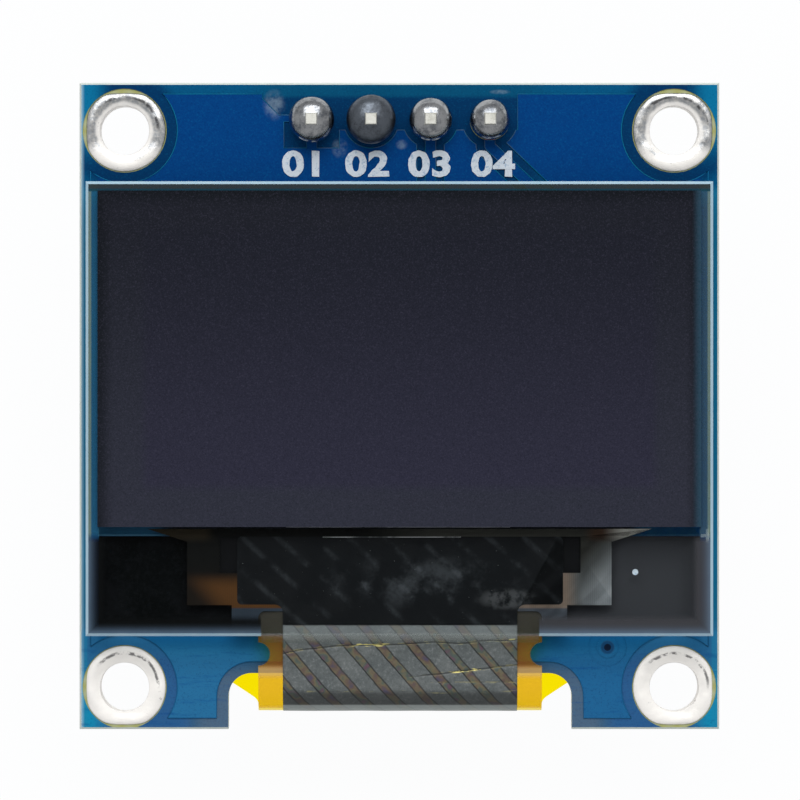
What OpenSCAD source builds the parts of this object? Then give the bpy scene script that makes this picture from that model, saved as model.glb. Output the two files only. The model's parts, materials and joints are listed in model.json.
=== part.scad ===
// Small OLED module: a glass display panel on a circuit board with a four-pin header.
// The origin is the centre of the four mounting holes on the board's back face.
// +Z points out of the display, +Y towards the header.

/* [Panel] */
// Width of the substrate glass
panel_w = 26.7; // [26:0.1:28]
// Height of the substrate glass
panel_h = 19.35; // [19:0.05:20.5]
// Thickness of the substrate glass
substrate_t = 0.7; // [0.5:0.05:1.1]
// Chamfer round the front of the substrate glass
glass_chamfer = 0.12; // [0.04:0.01:0.2]
// Thickness of the cap glass behind the substrate
cap_t = 0.5; // [0.4:0.05:0.8]
// Set-in of the cap glass from the panel's sides
cap_side = 0.5; // [0.3:0.05:0.8]
// Set-in of the cap glass from the panel's top edge
cap_top = 0.4; // [0.2:0.05:0.6]
// Height of the bare ledge below the cap glass
ledge_h = 4.25; // [4:0.05:5]
// Width of the glued rim between the two glasses
seal_w = 1; // [0.6:0.1:1.4]
// Thickness of the glued rim
seal_t = 0.02; // [0.018:0.001:0.04]
// Depth of the recess in the cap glass
recess_depth = 0.25; // [0.18:0.01:0.3]
// Radius of the recess's corners
recess_corner_r = 0.6; // [0.3:0.1:1]
// Thickness of the desiccant sheet in the recess
desiccant_t = 0.14; // [0.08:0.01:0.16]
// Set-in of the desiccant sheet from the recess's sides
desiccant_in = 2.2; // [1:0.1:3]
// Radius of the desiccant sheet's corners
desiccant_r = 0.5; // [0.2:0.1:1]
// Thickness of the polariser
polariser_t = 0.2; // [0.1:0.02:0.3]
// Set-in of the polariser from the panel's sides
polariser_side = 0.52; // [0.3:0.02:0.8]
// Set-in of the polariser from the panel's top edge
polariser_top = 0.4; // [0.2:0.05:0.6]
// Height of the polariser's lower edge above the ledge
polariser_rise = 0.4; // [0.1:0.05:0.8]
// Set-in of the lit pixel area from the panel's sides
active_side = 2.478; // [2.2:0.001:2.8]
// Set-in of the pixel area from the panel's top edge
active_top = 2.156; // [2:0.001:2.4]
// Height of the pixel area's lower edge above the ledge
active_rise = 2.08; // [1.8:0.05:2.3]
// Thickness of the light-emitting layers
oled_t = 0.01; // [0.006:0.001:0.016]

/* [Ledge] */
// Thickness of the metal leads on the ledge
leads_t = 0.015; // [0.01:0.001:0.017]
// Width of the block of leads
leads_w = 18.1; // [17.9:0.1:19.6]
// Height of the block of leads below the cap glass
leads_h = 2.95; // [2.7:0.05:3.2]
// Width of the strip of leads below the block
leads_foot_w = 14.3; // [13:0.1:15]
// Sideways reach of the flares at the block's upper corners
leads_flare = 1.7; // [1:0.1:2.2]
// Height of the flares' lower corners below the cap glass's edge
leads_flare_drop = 0.25; // [0.1:0.05:0.5]
// Reach of the leads under the cap glass's edge
leads_under = 0.3; // [0.1:0.05:0.8]
// Distance from the leads' lower ends to the panel's edge
leads_edge = 0.08; // [0.04:0.01:0.2]
// Gap between the cap glass and the potting bar
head_gap = 0.03; // [0.02:0.01:0.1]
// Width of the black potting bar over the driver
potting_w = 15.4; // [14.6:0.1:16.2]
// Height of the black potting bar
potting_h = 1.55; // [1.3:0.05:1.8]
// Width of the driver chip
chip_w = 6.8; // [6:0.1:8]
// Height of the driver chip
chip_h = 0.9; // [0.7:0.05:1.1]
// Thickness of the driver chip
chip_t = 0.28; // [0.2:0.01:0.32]
// Thickness of the black tape behind the ledge
ledge_tape_t = 0.15; // [0.1:0.01:0.18]
// Set-in of the black tape from the panel's lower edge
ledge_tape_rise = 0.35; // [0.2:0.05:0.6]

/* [Board] */
// Thickness of the laminate
board_t = 1.2; // [0.8:0.1:1.6]
// Margin of the board beside the panel
side_margin = 0.35; // [0.2:0.05:1]
// Strip of board above the panel
top_strip = 4.28; // [4.1:0.02:6]
// Strip of board below the panel
bottom_strip = 4.05; // [3.9:0.05:5]
// Height of each score groove along the snapped edges
score_h = 0.4; // [0.2:0.05:0.5]
// Set-back of the faces from the snapped edges
score_in = 0.1; // [0.05:0.01:0.2]
// Thickness of the copper
copper_t = 0.035; // [0.03:0.001:0.042]
// Thickness of the solder mask
mask_t = 0.045; // [0.044:0.001:0.06]
// Set-back of the copper from the board's edges
copper_edge = 0.5; // [0.3:0.05:0.7]
// Gap between the front copper and the pads or tracks
copper_gap = 0.37; // [0.3:0.01:0.42]
// Gap between the back copper and the pads or tracks
back_gap = 0.25; // [0.15:0.01:0.3]
// Width of a front track
track_w = 0.44; // [0.3:0.02:0.5]
// Width of a back track
back_track_w = 0.3; // [0.2:0.02:0.32]
// Radius of a via's barrel
via_r = 0.25; // [0.2:0.01:0.3]
// Radius of a via's bore
via_bore = 0.12; // [0.08:0.01:0.16]
// Width of the copper ring round a via
via_ring = 0.2; // [0.15:0.01:0.25]

/* [Mounting holes] */
// Radius of the plated mounting holes
hole_r = 1.08; // [1:0.02:1.2]
// Thickness of the plating in the holes
plating_t = 0.05; // [0.03:0.01:0.08]
// Radius of the tinned pads round the holes
hole_pad_r = 1.76; // [1.6:0.02:1.8]
// Distance from a hole's centre to its pad's clipped sides
hole_pad_clip = 1.59; // [1.5:0.01:1.62]
// Gap between a pad and the mask round it
mask_gap = 0.04; // [0.02:0.01:0.08]
// Width of the copper-free ring round a pad
hole_ring = 0.5; // [0.4:0.02:0.6]
// Height of the tin at the pad's rims
tin_rim = 0.05; // [0.04:0.005:0.07]
// Height of the tin at the pad's crown
tin_crown = 0.13; // [0.1:0.005:0.16]
// Set-in of the holes from the board's sides
hole_side = 1.95; // [1.85:0.05:2.4]
// Set-in of the upper holes from the board's top edge
hole_top = 2.06; // [2:0.02:2.2]
// Set-in of the lower holes from the board's lower edge
hole_bottom = 1.82; // [1.8:0.02:2.1]

/* [Header] */
// Number of pins
pins = 4; // [4]
// Distance between pins
pin_pitch = 2.54; // [2.5:0.01:2.6]
// Sideways place of the header's middle
header_x = 0.06; // [-0.2:0.01:0.2]
// Distance from the board's top edge to the row of pins
header_inset = 1.62; // [1.5:0.02:1.8]
// Width of a square pin
pin_w = 0.64; // [0.5:0.02:0.68]
// Width of a pin's flat tip
pin_tip_w = 0.43; // [0.3:0.01:0.46]
// Length of a pin's tapered tip
pin_taper = 0.25; // [0.15:0.01:0.35]
// Length of a pin in front of the board
pin_front = 1.62; // [1.5:0.02:2]
// Length of a pin behind the header's body
pin_back = 6; // [4:0.5:12]
// Height of the header's body
header_h = 2.5; // [2:0.1:3]
// Width of the header's body
header_w = 2.5; // [2.3:0.05:2.54]
// Chamfer at the ends of each header segment
header_chamfer = 0.45; // [0.3:0.05:0.7]
// Clearance between a pin's corners and its plated hole
pin_clear = 0.03; // [0.02:0.01:0.06]
// Radius of the pads round the pins
pin_pad_r = 0.82; // [0.78:0.01:0.9]
// Height of the solder joints above their pads
solder_h = 1.22; // [1.1:0.02:1.35]
// Radius of curvature of a solder joint's flank
solder_curl = 0.7; // [0.6:0.01:0.78]
// Largest radius of the first solder joint
solder_r1 = 0.98; // [0.84:0.01:1.06]
// Largest radius of the second solder joint
solder_r2 = 1.05; // [0.84:0.01:1.06]
// Largest radius of the third solder joint
solder_r3 = 0.92; // [0.84:0.01:1.06]
// Largest radius of the fourth solder joint
solder_r4 = 0.86; // [0.84:0.01:1.06]

/* [Header tracks] */
// Height of the copper-free band below the row of pins
keep_drop = 0.42; // [0.3:0.02:0.6]
// Reach of the copper-free band beyond the first pin's pad
keep_step = 0.93; // [0.6:0.01:1.1]
// Width of the thin spoke beside the first pin
spoke_w = 0.28; // [0.2:0.02:0.4]
// Height of the thin spoke above the row of pins
spoke_rise = 0.08; // [0:0.01:0.16]
// Length of the third pin's track
track_l = 3.64; // [3.4:0.02:4]
// Length of the straight part of the fourth pin's track
track_drop = 1.1; // [0.9:0.05:1.4]
// Sideways reach of the slanting part of the fourth pin's track
track_run = 3.09; // [2.8:0.01:3.3]
// Downward reach of the slanting part of the fourth pin's track
track_fall = 2.94; // [2.7:0.01:3.2]
// Sideways place of the corner via, from the hole beside it
corner_via_x = 2.85; // [2.6:0.05:3]
// Height of the corner via above the hole beside it
corner_via_y = 1.7; // [1.5:0.05:2]

/* [Flex tail] */
// Sideways place of the flex tail's centre line
flex_x = 0.03; // [-0.2:0.01:0.2]
// Thickness of the flex film
flex_t = 0.1; // [0.06:0.01:0.12]
// Width of the flex film's neck
neck_w = 12.1; // [11.4:0.1:12.6]
// Radius of the neck's upper corners
neck_corner_r = 0.3; // [0.1:0.05:0.4]
// Distance of the neck's upper edge below the black cover's arms
neck_drop = 0.28; // [0.1:0.02:0.4]
// Set-back of the film's end from the cover's upper edge
film_head_in = 0.2; // [0.1:0.05:0.4]
// Radius of the round recesses in the neck's sides
recess_r = 0.5; // [0.3:0.05:0.6]
// Distance of the recesses below the panel's edge
recess_drop = 0.79; // [0.65:0.01:0.95]
// Width of the black cover over the flex's head
cover_w = 13.9; // [13:0.1:14.4]
// Height of the black cover over the flex's head
cover_h = 2.9; // [2.6:0.05:3]
// Height of the black cover's stem below its head
stem_h = 0.86; // [0.7:0.02:0.9]
// Thickness of the black cover
cover_t = 0.075; // [0.065:0.005:0.095]
// Radius of the black cover's corners
cover_corner_r = 0.2; // [0.1:0.02:0.3]
// Radius of the fillets under the black cover's arms
cover_fillet_r = 0.35; // [0.2:0.05:0.45]
// Reach of the clear resin bead below the panel's edge
resin_reach = 0.3; // [0.2:0.02:0.34]
// Distance from the neck's sides to the ends of the resin bead
resin_in = 0.15; // [0.12:0.01:0.3]
// Thickness of the resin bead over the panel's chamfered edge
resin_skin = 0.1; // [0.06:0.01:0.16]
// Height of the resin bead at its outer edge
resin_foot = 0.06; // [0.045:0.005:0.09]
// Width of the printed conductor zone
print_w = 10; // [9:0.1:10.6]
// Thickness of the printed conductor zone
print_t = 0.04; // [0.02:0.005:0.045]
// Distance from the board's lower edge to the outside of the fold
fold_back = 0.77; // [0.6:0.01:0.9]
// Clearance between the neck and the sides of the notch
notch_clear = 1.3; // [1:0.05:1.8]
// Depth of the notch in the board's lower edge
notch_depth = 2.42; // [2.3:0.02:2.6]
// Radius of the notch's upper corners
notch_r = 1; // [0.6:0.1:1.2]
// Angle of the tail's flared shoulders
flare_angle = 33; // [28:1:38]
// Radius of the fillets between the neck and the shoulders
flare_fillet_r = 0.5; // [0.2:0.05:0.6]
// Height of the shoulders' lower ends above the fold's outside
flare_rise = 0.43; // [0.38:0.01:0.5]
// Height of the tail's soldered edge above the board's lower edge
tail_rise = 6.5; // [6.2:0.1:6.8]

/* [Flex contacts] */
// Number of soldered contacts
contacts = 30; // [28:1:31]
// Distance between contacts
contact_pitch = 0.62; // [0.6:0.01:0.64]
// Width of a contact
contact_w = 0.34; // [0.25:0.01:0.4]
// Length of a contact finger under the film
contact_l = 2; // [1.5:0.1:2.2]
// Thickness of a contact finger
contact_t = 0.03; // [0.02:0.005:0.04]
// Length of a board pad beyond the film's edge
contact_toe = 0.6; // [0.4:0.05:0.8]
// Height of the solder on a board pad
contact_solder = 0.16; // [0.1:0.01:0.2]

/* [Small parts] */
// Length of a chip capacitor or resistor
chip_part_l = 1.6; // [1.4:0.05:1.7]
// Width of a chip capacitor or resistor
chip_part_w = 0.8; // [0.7:0.02:0.9]
// Height of a chip capacitor
capacitor_h = 0.8; // [0.6:0.02:0.9]
// Height of a chip resistor
resistor_h = 0.45; // [0.35:0.01:0.55]
// Length of the end terminals
terminal_l = 0.3; // [0.2:0.02:0.36]
// Wall of the end terminals
terminal_wall = 0.03; // [0.02:0.005:0.04]
// Reach of the solder beyond a terminal
solder_toe = 0.3; // [0.2:0.02:0.34]
// Distance from the board's left side to the left column of parts
parts_left = 3.9; // [3.6:0.1:4.2]
// Distance from the board's right side to the last part of each row
parts_right = 5.3; // [5.1:0.1:5.5]
// Distance from the row of pins down to the upper row of parts
upper_drop = 5.44; // [5.3:0.02:5.8]
// Distance from the upper row to the middle row
row_drop = 3.5; // [3.2:0.1:3.8]
// Distance from the tail's pads up to the lower row
lower_rise = 3.42; // [3:0.02:3.6]
// Distance between the parts of the middle row
middle_pitch = 2; // [1.7:0.05:2.1]
// Distance of the first part of the left column above the middle row
column_rise = 1; // [0.8:0.05:1.2]
// Distance from the left column to the regulator
regulator_in = 3.2; // [3:0.05:3.4]
// Distance from the regulator to the first part of the upper row
upper_in = 4.2; // [4:0.05:4.4]
// Height of the regulator above the upper row
regulator_up = 0.5; // [0.3:0.05:0.7]
// Distance of the diode below the middle row
diode_drop = 3.2; // [3:0.05:3.6]
// Length of the regulator's body
regulator_l = 2.9; // [2.8:0.02:3.1]
// Width of the regulator's body
regulator_w = 1.3; // [1.2:0.02:1.5]
// Height of the regulator's body
regulator_h = 1; // [0.9:0.02:1.2]
// Span of the regulator over its leads
regulator_span = 2.4; // [2.3:0.02:2.6]
// Width of a regulator lead
lead_w = 0.4; // [0.3:0.02:0.46]
// Thickness of the regulator's and the diode's leads
lead_t = 0.13; // [0.1:0.01:0.16]
// Distance from a moulded body to the bend of its leads
lead_knee = 0.3; // [0.2:0.02:0.34]
// Distance from the regulator's middle to its outer leads
lead_pitch = 0.95; // [0.9:0.01:1]
// Length of the pad under a lead
lead_pad_l = 0.8; // [0.6:0.05:0.9]
// Reach of a pad beyond its lead's end
lead_toe = 0.3; // [0.2:0.02:0.4]
// Width of a pad beside its lead
lead_pad_side = 0.1; // [0.05:0.01:0.15]
// Set-in of the moulded bodies' faces from their parting lines
body_draft = 0.05; // [0.03:0.01:0.08]
// Height of the moulded bodies above the board
body_lift = 0.08; // [0.05:0.01:0.12]
// Length of the diode's body
diode_l = 1.7; // [1.6:0.02:1.9]
// Width of the diode's body
diode_w = 1.25; // [1.1:0.05:1.4]
// Height of the diode's body
diode_h = 0.9; // [0.8:0.05:1.1]
// Width of a diode lead
diode_lead_w = 0.3; // [0.2:0.02:0.4]
// Reach of the diode's leads beyond its body
diode_reach = 0.5; // [0.4:0.02:0.6]

/* [Foam tape] */
// Thickness of the foam tape behind the cap glass
foam_t = 0.2; // [0.15:0.01:0.3]
// Set-in of the foam tape from the cap glass's edges
foam_in = 0.6; // [0.3:0.1:1.2]
// Radius of the foam tape's corners
foam_r = 0.5; // [0.2:0.1:1]

/* [Hidden] */
$fn = 64;
eps = 0.01;
far = 60;

// Board outline, about the centre of the four holes
board_w = panel_w + 2 * side_margin;
board_h = panel_h + top_strip + bottom_strip;
hole_dx = board_w / 2 - hole_side;
hole_dy = (board_h - hole_top - hole_bottom) / 2;
board_top = hole_dy + hole_top;
board_bottom = -hole_dy - hole_bottom;
board_y = (board_top + board_bottom) / 2;
holes = [[-1, 1], [1, 1], [-1, -1], [1, -1]];

// Panel outline
panel_top = board_top - top_strip;
panel_bottom = board_bottom + bottom_strip;
panel_y = (panel_top + panel_bottom) / 2;
cap_w = panel_w - 2 * cap_side;
cap_y1 = panel_top - cap_top;
cap_y0 = panel_bottom + ledge_h;
cap_h = cap_y1 - cap_y0;
cap_y = (cap_y0 + cap_y1) / 2;

// Levels in front of the board
skin = copper_t + mask_t;
front_z = board_t + skin;
cap_z = front_z + foam_t;
seal_z = cap_z + cap_t;
glass_z = seal_z + seal_t;
polariser_z = glass_z + substrate_t;
leads_z = glass_z - leads_t;
cover_z = glass_z - cover_t;
flex_front_z = cover_z - flex_t;
tape_top_z = front_z + ledge_tape_t;
head_y = cap_y0 - head_gap;
active_y0 = cap_y0 + active_rise;
active_y1 = panel_top - active_top;

// Header
pin_row_y = board_top - header_inset;
pin_hole_r = pin_w * sqrt(2) / 2 + pin_clear;
pin_bore_r = pin_hole_r + plating_t;
pin_keep_r = pin_pad_r + copper_gap;
header_top_z = -skin;
solder_radii = [solder_r1, solder_r2, solder_r3, solder_r4];

// Flex tail
back_z = -skin;
flex_back_z = back_z - contact_t - flex_t;
fold_r = (flex_front_z - flex_back_z + flex_t) / 2;
fold_z = flex_back_z + fold_r;
fold_edge_y = board_bottom + fold_back;
fold_y = fold_edge_y + print_t + fold_r;
notch_w = neck_w + 2 * notch_clear;
notch_y = board_bottom + notch_depth;
tail_w = contacts * contact_pitch;
tail_y = board_bottom + tail_rise;
flare_y = fold_edge_y + flare_rise;

function pin_x(i) = header_x + (i - (pins - 1) / 2) * pin_pitch;
function contact_x(i) = flex_x + (i - (contacts - 1) / 2) * contact_pitch;
function arc(cx, cy, r, a0, a1, n = 8) =
    [for (i = [0:n]) [cx + r * cos(a0 + (a1 - a0) * i / n), cy + r * sin(a0 + (a1 - a0) * i / n)]];

// Rows and columns of the small parts on the back
left_x = -board_w / 2 + parts_left;
right_x = board_w / 2 - parts_right;
upper_y = pin_row_y - upper_drop;
middle_y = upper_y - row_drop;
lower_y = tail_y + contact_toe + lower_rise;
upper_pitch = (right_x - left_x - regulator_in - upper_in) / 3;
// The lower row's parts stand over every fourth contact of the tail
function upper_x(i) = right_x - i * upper_pitch;
function middle_x(i) = right_x - i * middle_pitch;
function lower_x(i) = contact_x(5 + 4 * i);

// Small parts: x, y and whether each stands upright
capacitors = [[left_x, middle_y + column_rise, true], [upper_x(3), upper_y, false],
              [upper_x(2), upper_y, false], [middle_x(2), middle_y, true],
              [middle_x(1), middle_y, true], [lower_x(1), lower_y, true]];
resistors = [[lower_x(0), lower_y, true], [lower_x(2), lower_y, true],
             [lower_x(3), lower_y, true], [lower_x(4), lower_y, true],
             [lower_x(5), lower_y, true], [upper_x(1), upper_y, false],
             [upper_x(0), upper_y, false], [right_x, middle_y, true]];
regulator_at = [left_x + regulator_in, upper_y + regulator_up];
diode_at = [left_x, middle_y - diode_drop];
part_pad_l = terminal_l + solder_toe;
part_reach = chip_part_l / 2;
regulator_leads_at = [[-lead_pitch, -1], [lead_pitch, -1], [0, 1]];
diode_leads_at = [[0, -1], [0, 1]];

// Vias, and the ends of the front tracks
third_via = [pin_x(2), pin_row_y - track_l];
fourth_knee = [pin_x(3), pin_row_y - track_drop];
fourth_via = fourth_knee + [track_run, -track_fall];
corner_via = [hole_dx - corner_via_x, -hole_dy + corner_via_y];
left_via = [(left_x + regulator_at.x) / 2, middle_y - column_rise];
right_via = [middle_x(1), (middle_y + lower_y) / 2];
vias = [corner_via, third_via, fourth_via, left_via, right_via];

// ---- Flat outlines ----

// A rectangle between two corners
module span(x0, y0, x1, y1) translate([x0, y0]) square([x1 - x0, y1 - y0]);

// A rectangle with round corners, centred on a point
module round_rect(x, y, w, h, r) {
    translate([x, y]) {
        square([w - 2 * r, h], center = true);
        square([w, h - 2 * r], center = true);
        for (sx = [-1, 1], sy = [-1, 1])
            translate([sx * (w / 2 - r), sy * (h / 2 - r)]) circle(r);
    }
}

module at_holes() for (h = holes) translate([h.x * hole_dx, h.y * hole_dy]) children();

module at_vias() for (v = vias) translate(v) children();

module at_pins() for (i = [0:pins - 1]) translate([pin_x(i), pin_row_y]) children();

// The notch in the lower edge, grown outwards by a margin
module notch_2d(grow = 0) {
    w = notch_w + 2 * grow;
    r = notch_r + grow;
    y = notch_y + grow;
    translate([flex_x, 0]) {
        span(-w / 2, board_bottom - far, w / 2, y - r);
        span(-w / 2 + r, y - 2 * r, w / 2 - r, y);
        for (s = [-1, 1]) translate([s * (w / 2 - r), y - r]) circle(r);
    }
}

// The board's face, set in from the snapped edges and from the notch
module face_2d(inset, notch_inset) {
    difference() {
        translate([0, board_y]) square([board_w - 2 * inset, board_h - 2 * inset], center = true);
        notch_2d(notch_inset);
    }
}

// One pad round a mounting hole, clipped on the two sides near the board's edges
module hole_pad_2d(h, grow = 0) {
    r = hole_pad_r + grow;
    inset = hole_pad_clip - r;
    intersection() {
        circle(r);
        translate([h.x * inset, h.y * inset]) square(2 * r, center = true);
    }
}

// Pads of the flex contacts on the board
module tail_pads_2d(grow = 0) {
    for (i = [0:contacts - 1])
        translate([contact_x(i), 0])
            span(-contact_w / 2 - grow, tail_y - contact_l - grow,
                 contact_w / 2 + grow, tail_y + contact_toe + grow);
}

// Pads of one small part, lying along X
module part_pads_2d(grow = 0) {
    for (s = [-1, 1])
        translate([s * (part_reach - terminal_l + part_pad_l / 2), 0])
            square([part_pad_l + 2 * grow, chip_part_w + 2 * grow], center = true);
}

module at_part(p) translate([p.x, p.y]) rotate(p.z ? 90 : 0) children();

// Pads of a moulded part: leads_at holds each lead's x and its side
module lead_pads_2d(at, leads_at, end, w, grow) {
    translate(at) for (l = leads_at) scale([1, l.y])
        translate([l.x, end + lead_toe - lead_pad_l / 2])
            square([w + 2 * lead_pad_side + 2 * grow, lead_pad_l + 2 * grow], center = true);
}

module small_pads_2d(grow = 0) {
    for (p = concat(capacitors, resistors)) at_part(p) part_pads_2d(grow);
    lead_pads_2d(regulator_at, regulator_leads_at, regulator_span / 2, lead_w, grow);
    lead_pads_2d(diode_at, diode_leads_at, diode_l / 2 + diode_reach, diode_lead_w, grow);
}

// ---- Copper ----

// A straight track between two points
module track_2d(a, b, w) {
    d = b - a;
    translate(a) rotate(atan2(d.y, d.x)) translate([0, -w / 2]) square([norm(d), w]);
    translate(b) circle(w / 2);
}

module front_tracks_2d(grow = 0) {
    w = track_w + 2 * grow;
    track_2d([pin_x(2), pin_row_y], third_via, w);
    track_2d([pin_x(pins - 1), pin_row_y], fourth_knee, w);
    track_2d(fourth_knee, fourth_via, w);
}

// The copper-free ground round the header
module header_keep_2d() {
    k = pin_keep_r;
    first = pin_x(0) - k;
    last = pin_x(pins - 1) + k;
    low = pin_row_y - keep_drop;
    // band above the row, chamfered at its left end
    polygon([[first, low], [first, pin_row_y], [first - keep_step, pin_row_y + keep_step],
             [first - keep_step, board_top], [last, board_top], [last, low]]);
    // square round the first pin, circles round the others
    translate([pin_x(0), pin_row_y]) square(2 * k, center = true);
    for (i = [1:pins - 1]) translate([pin_x(i), pin_row_y]) circle(k);
    front_tracks_2d(copper_gap);
}

// Tracks on the back: contacts to the lower row, vias to the upper row, and along the rows
module back_tracks_2d(grow = 0) {
    w = back_track_w + 2 * grow;
    down = [0, -part_reach];
    side = [part_reach, 0];
    for (i = [0:5]) track_2d([lower_x(i), lower_y] + down, [lower_x(i), tail_y], w);
    track_2d(third_via, [upper_x(2), upper_y] + side, w);
    track_2d(fourth_via, [upper_x(0), upper_y] - side, w);
    track_2d([upper_x(1), upper_y] + side, [upper_x(0), upper_y] - side, w);
    track_2d([upper_x(3), upper_y] + side, [upper_x(2), upper_y] - side, w);
    track_2d([middle_x(1), middle_y] + down, right_via, w);
    track_2d([left_x, middle_y + column_rise] + down, diode_at + [0, diode_l / 2 + diode_reach], w);
}

module front_copper_2d() {
    difference() {
        union() {
            difference() {
                face_2d(copper_edge, copper_edge);
                at_holes() circle(hole_pad_r + hole_ring);
                header_keep_2d();
                at_vias() circle(via_r + via_ring + copper_gap);
            }
            front_tracks_2d();
            // two spokes from the copper to the first pin
            translate([pin_x(0), pin_row_y]) {
                span(-2 * pin_keep_r, spoke_rise - spoke_w / 2, 0, spoke_rise + spoke_w / 2);
                span(-track_w / 2, -2 * pin_keep_r, track_w / 2, 0);
            }
            at_vias() circle(via_r + via_ring);
        }
        at_pins() circle(pin_pad_r);
        at_vias() circle(via_r);
    }
}

module back_copper_2d() {
    difference() {
        union() {
            difference() {
                face_2d(copper_edge, copper_edge);
                at_holes() circle(hole_pad_r + hole_ring);
                at_pins() circle(pin_keep_r);
                span(flex_x - tail_w / 2 - copper_gap, board_bottom,
                     flex_x + tail_w / 2 + copper_gap, tail_y + contact_toe + copper_gap);
                small_pads_2d(back_gap);
                back_tracks_2d(back_gap);
                at_vias() circle(via_r + via_ring + back_gap);
            }
            back_tracks_2d();
            at_vias() circle(via_r + via_ring);
        }
        at_vias() circle(via_r);
        small_pads_2d();
        tail_pads_2d();
    }
}

module front_copper() color([0.72, 0.45, 0.25])
    translate([0, 0, board_t]) linear_extrude(copper_t) front_copper_2d();

module back_copper() color([0.72, 0.45, 0.25])
    translate([0, 0, -copper_t]) linear_extrude(copper_t) back_copper_2d();

module vias() color([0.72, 0.45, 0.25])
    for (v = vias) translate([v.x, v.y, -copper_t]) difference() {
        cylinder(r = via_r, h = board_t + 2 * copper_t);
        translate([0, 0, -eps]) cylinder(r = via_bore, h = board_t + 2 * copper_t + 2 * eps);
    }

// ---- Board and solder mask ----

// A plate's edge profile: a snapped web between two score grooves
module score_profile_2d(w) {
    polygon([[-w / 2 + score_in, 0], [-w / 2, score_h], [-w / 2, board_t - score_h],
             [-w / 2 + score_in, board_t], [w / 2 - score_in, board_t],
             [w / 2, board_t - score_h], [w / 2, score_h], [w / 2 - score_in, 0]]);
}

module board() color([0.72, 0.74, 0.5])
    difference() {
        intersection() {
            translate([0, board_y + board_h / 2, 0]) rotate([90, 0, 0])
                linear_extrude(board_h) score_profile_2d(board_w);
            translate([-board_w / 2, board_y, 0]) rotate([90, 0, 90])
                linear_extrude(board_w) score_profile_2d(board_h);
        }
        translate([0, 0, -eps]) linear_extrude(board_t + 2 * eps) {
            notch_2d();
            at_holes() circle(hole_r + plating_t);
            at_pins() circle(pin_bore_r);
            at_vias() circle(via_r);
        }
    }

// Mask that lies on the laminate and steps up over the copper
module mask_layers() {
    difference() {
        linear_extrude(mask_t) children(0);
        translate([0, 0, -eps]) linear_extrude(copper_t + eps) children(1);
    }
    translate([0, 0, copper_t]) linear_extrude(mask_t) intersection() {
        children(0);
        children(1);
    }
}

module front_mask_2d() {
    difference() {
        face_2d(score_in, 0);
        at_holes() circle(hole_pad_r + mask_gap);
        at_pins() circle(pin_pad_r + mask_gap);
    }
}

module back_mask_2d() {
    difference() {
        face_2d(score_in, 0);
        at_holes() circle(hole_pad_r + mask_gap);
        at_pins() circle(pin_pad_r + mask_gap);
        tail_pads_2d(mask_gap);
        small_pads_2d(mask_gap);
    }
}

module front_mask() color([0.02, 0.25, 0.47])
    translate([0, 0, board_t]) mask_layers() {
        front_mask_2d();
        union() {
            front_copper_2d();
            at_vias() circle(via_r);
        }
    }

module back_mask() color([0.02, 0.25, 0.47])
    mirror([0, 0, 1]) mask_layers() {
        back_mask_2d();
        union() {
            back_copper_2d();
            at_vias() circle(via_r);
        }
    }

// ---- Plated mounting holes ----

// Half section of a pad: flat rims and a low crown of tin
module tin_pad_half_2d() {
    middle = (hole_r + hole_pad_r) / 2;
    half = (hole_pad_r - hole_r) / 2;
    rise = tin_crown - tin_rim;
    r = (half * half + rise * rise) / (2 * rise);
    span(hole_r, 0, hole_pad_r, tin_rim);
    intersection() {
        span(hole_r, 0, hole_pad_r, tin_crown);
        translate([middle, tin_crown - r]) circle(r);
    }
}

module hole_plating(i) color([0.8, 0.8, 0.78]) {
    h = holes[i];
    translate([h.x * hole_dx, h.y * hole_dy, 0]) {
        rotate_extrude() span(hole_r, -eps / 2, hole_r + plating_t, board_t + eps / 2);
        for (front = [0, 1]) translate([0, 0, front * board_t]) mirror([0, 0, 1 - front])
            intersection() {
                rotate_extrude() tin_pad_half_2d();
                linear_extrude(tin_crown + eps) hole_pad_2d(h);
            }
    }
}

// ---- Header ----

module pin_platings() color([0.8, 0.8, 0.78])
    at_pins() difference() {
        translate([0, 0, -skin]) union() {
            cylinder(r = pin_pad_r, h = skin);
            cylinder(r = pin_bore_r, h = board_t + 2 * skin);
            translate([0, 0, skin + board_t]) cylinder(r = pin_pad_r, h = skin);
        }
        translate([0, 0, -skin - eps]) cylinder(r = pin_hole_r, h = board_t + 2 * skin + 2 * eps);
    }

// Profile of a pin along its length: square body, tapered flat tips
module pin_profile_2d() {
    z0 = header_top_z - header_h - pin_back;
    z1 = board_t + pin_front;
    a = pin_w / 2;
    b = pin_tip_w / 2;
    polygon([[-b, z0], [b, z0], [a, z0 + pin_taper], [a, z1 - pin_taper],
             [b, z1], [-b, z1], [-a, z1 - pin_taper], [-a, z0 + pin_taper]]);
}

module pin_at_origin() {
    intersection() {
        translate([0, pin_w, 0]) rotate([90, 0, 0]) linear_extrude(2 * pin_w) pin_profile_2d();
        translate([-pin_w, 0, 0]) rotate([90, 0, 90]) linear_extrude(2 * pin_w) pin_profile_2d();
    }
}

module header_pin(i) color([0.83, 0.81, 0.76])
    translate([pin_x(i), pin_row_y, 0]) pin_at_origin();

module header_segment_2d() {
    a = pin_pitch / 2;
    b = header_w / 2;
    c = header_chamfer;
    polygon([[-a, -b + c], [-a + c, -b], [a - c, -b], [a, -b + c],
             [a, b - c], [a - c, b], [-a + c, b], [-a, b - c]]);
}

module header_body() color([0.06, 0.06, 0.065])
    translate([0, 0, header_top_z - header_h]) linear_extrude(header_h) difference() {
        at_pins() header_segment_2d();
        at_pins() square(pin_w, center = true);
    }

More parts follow.
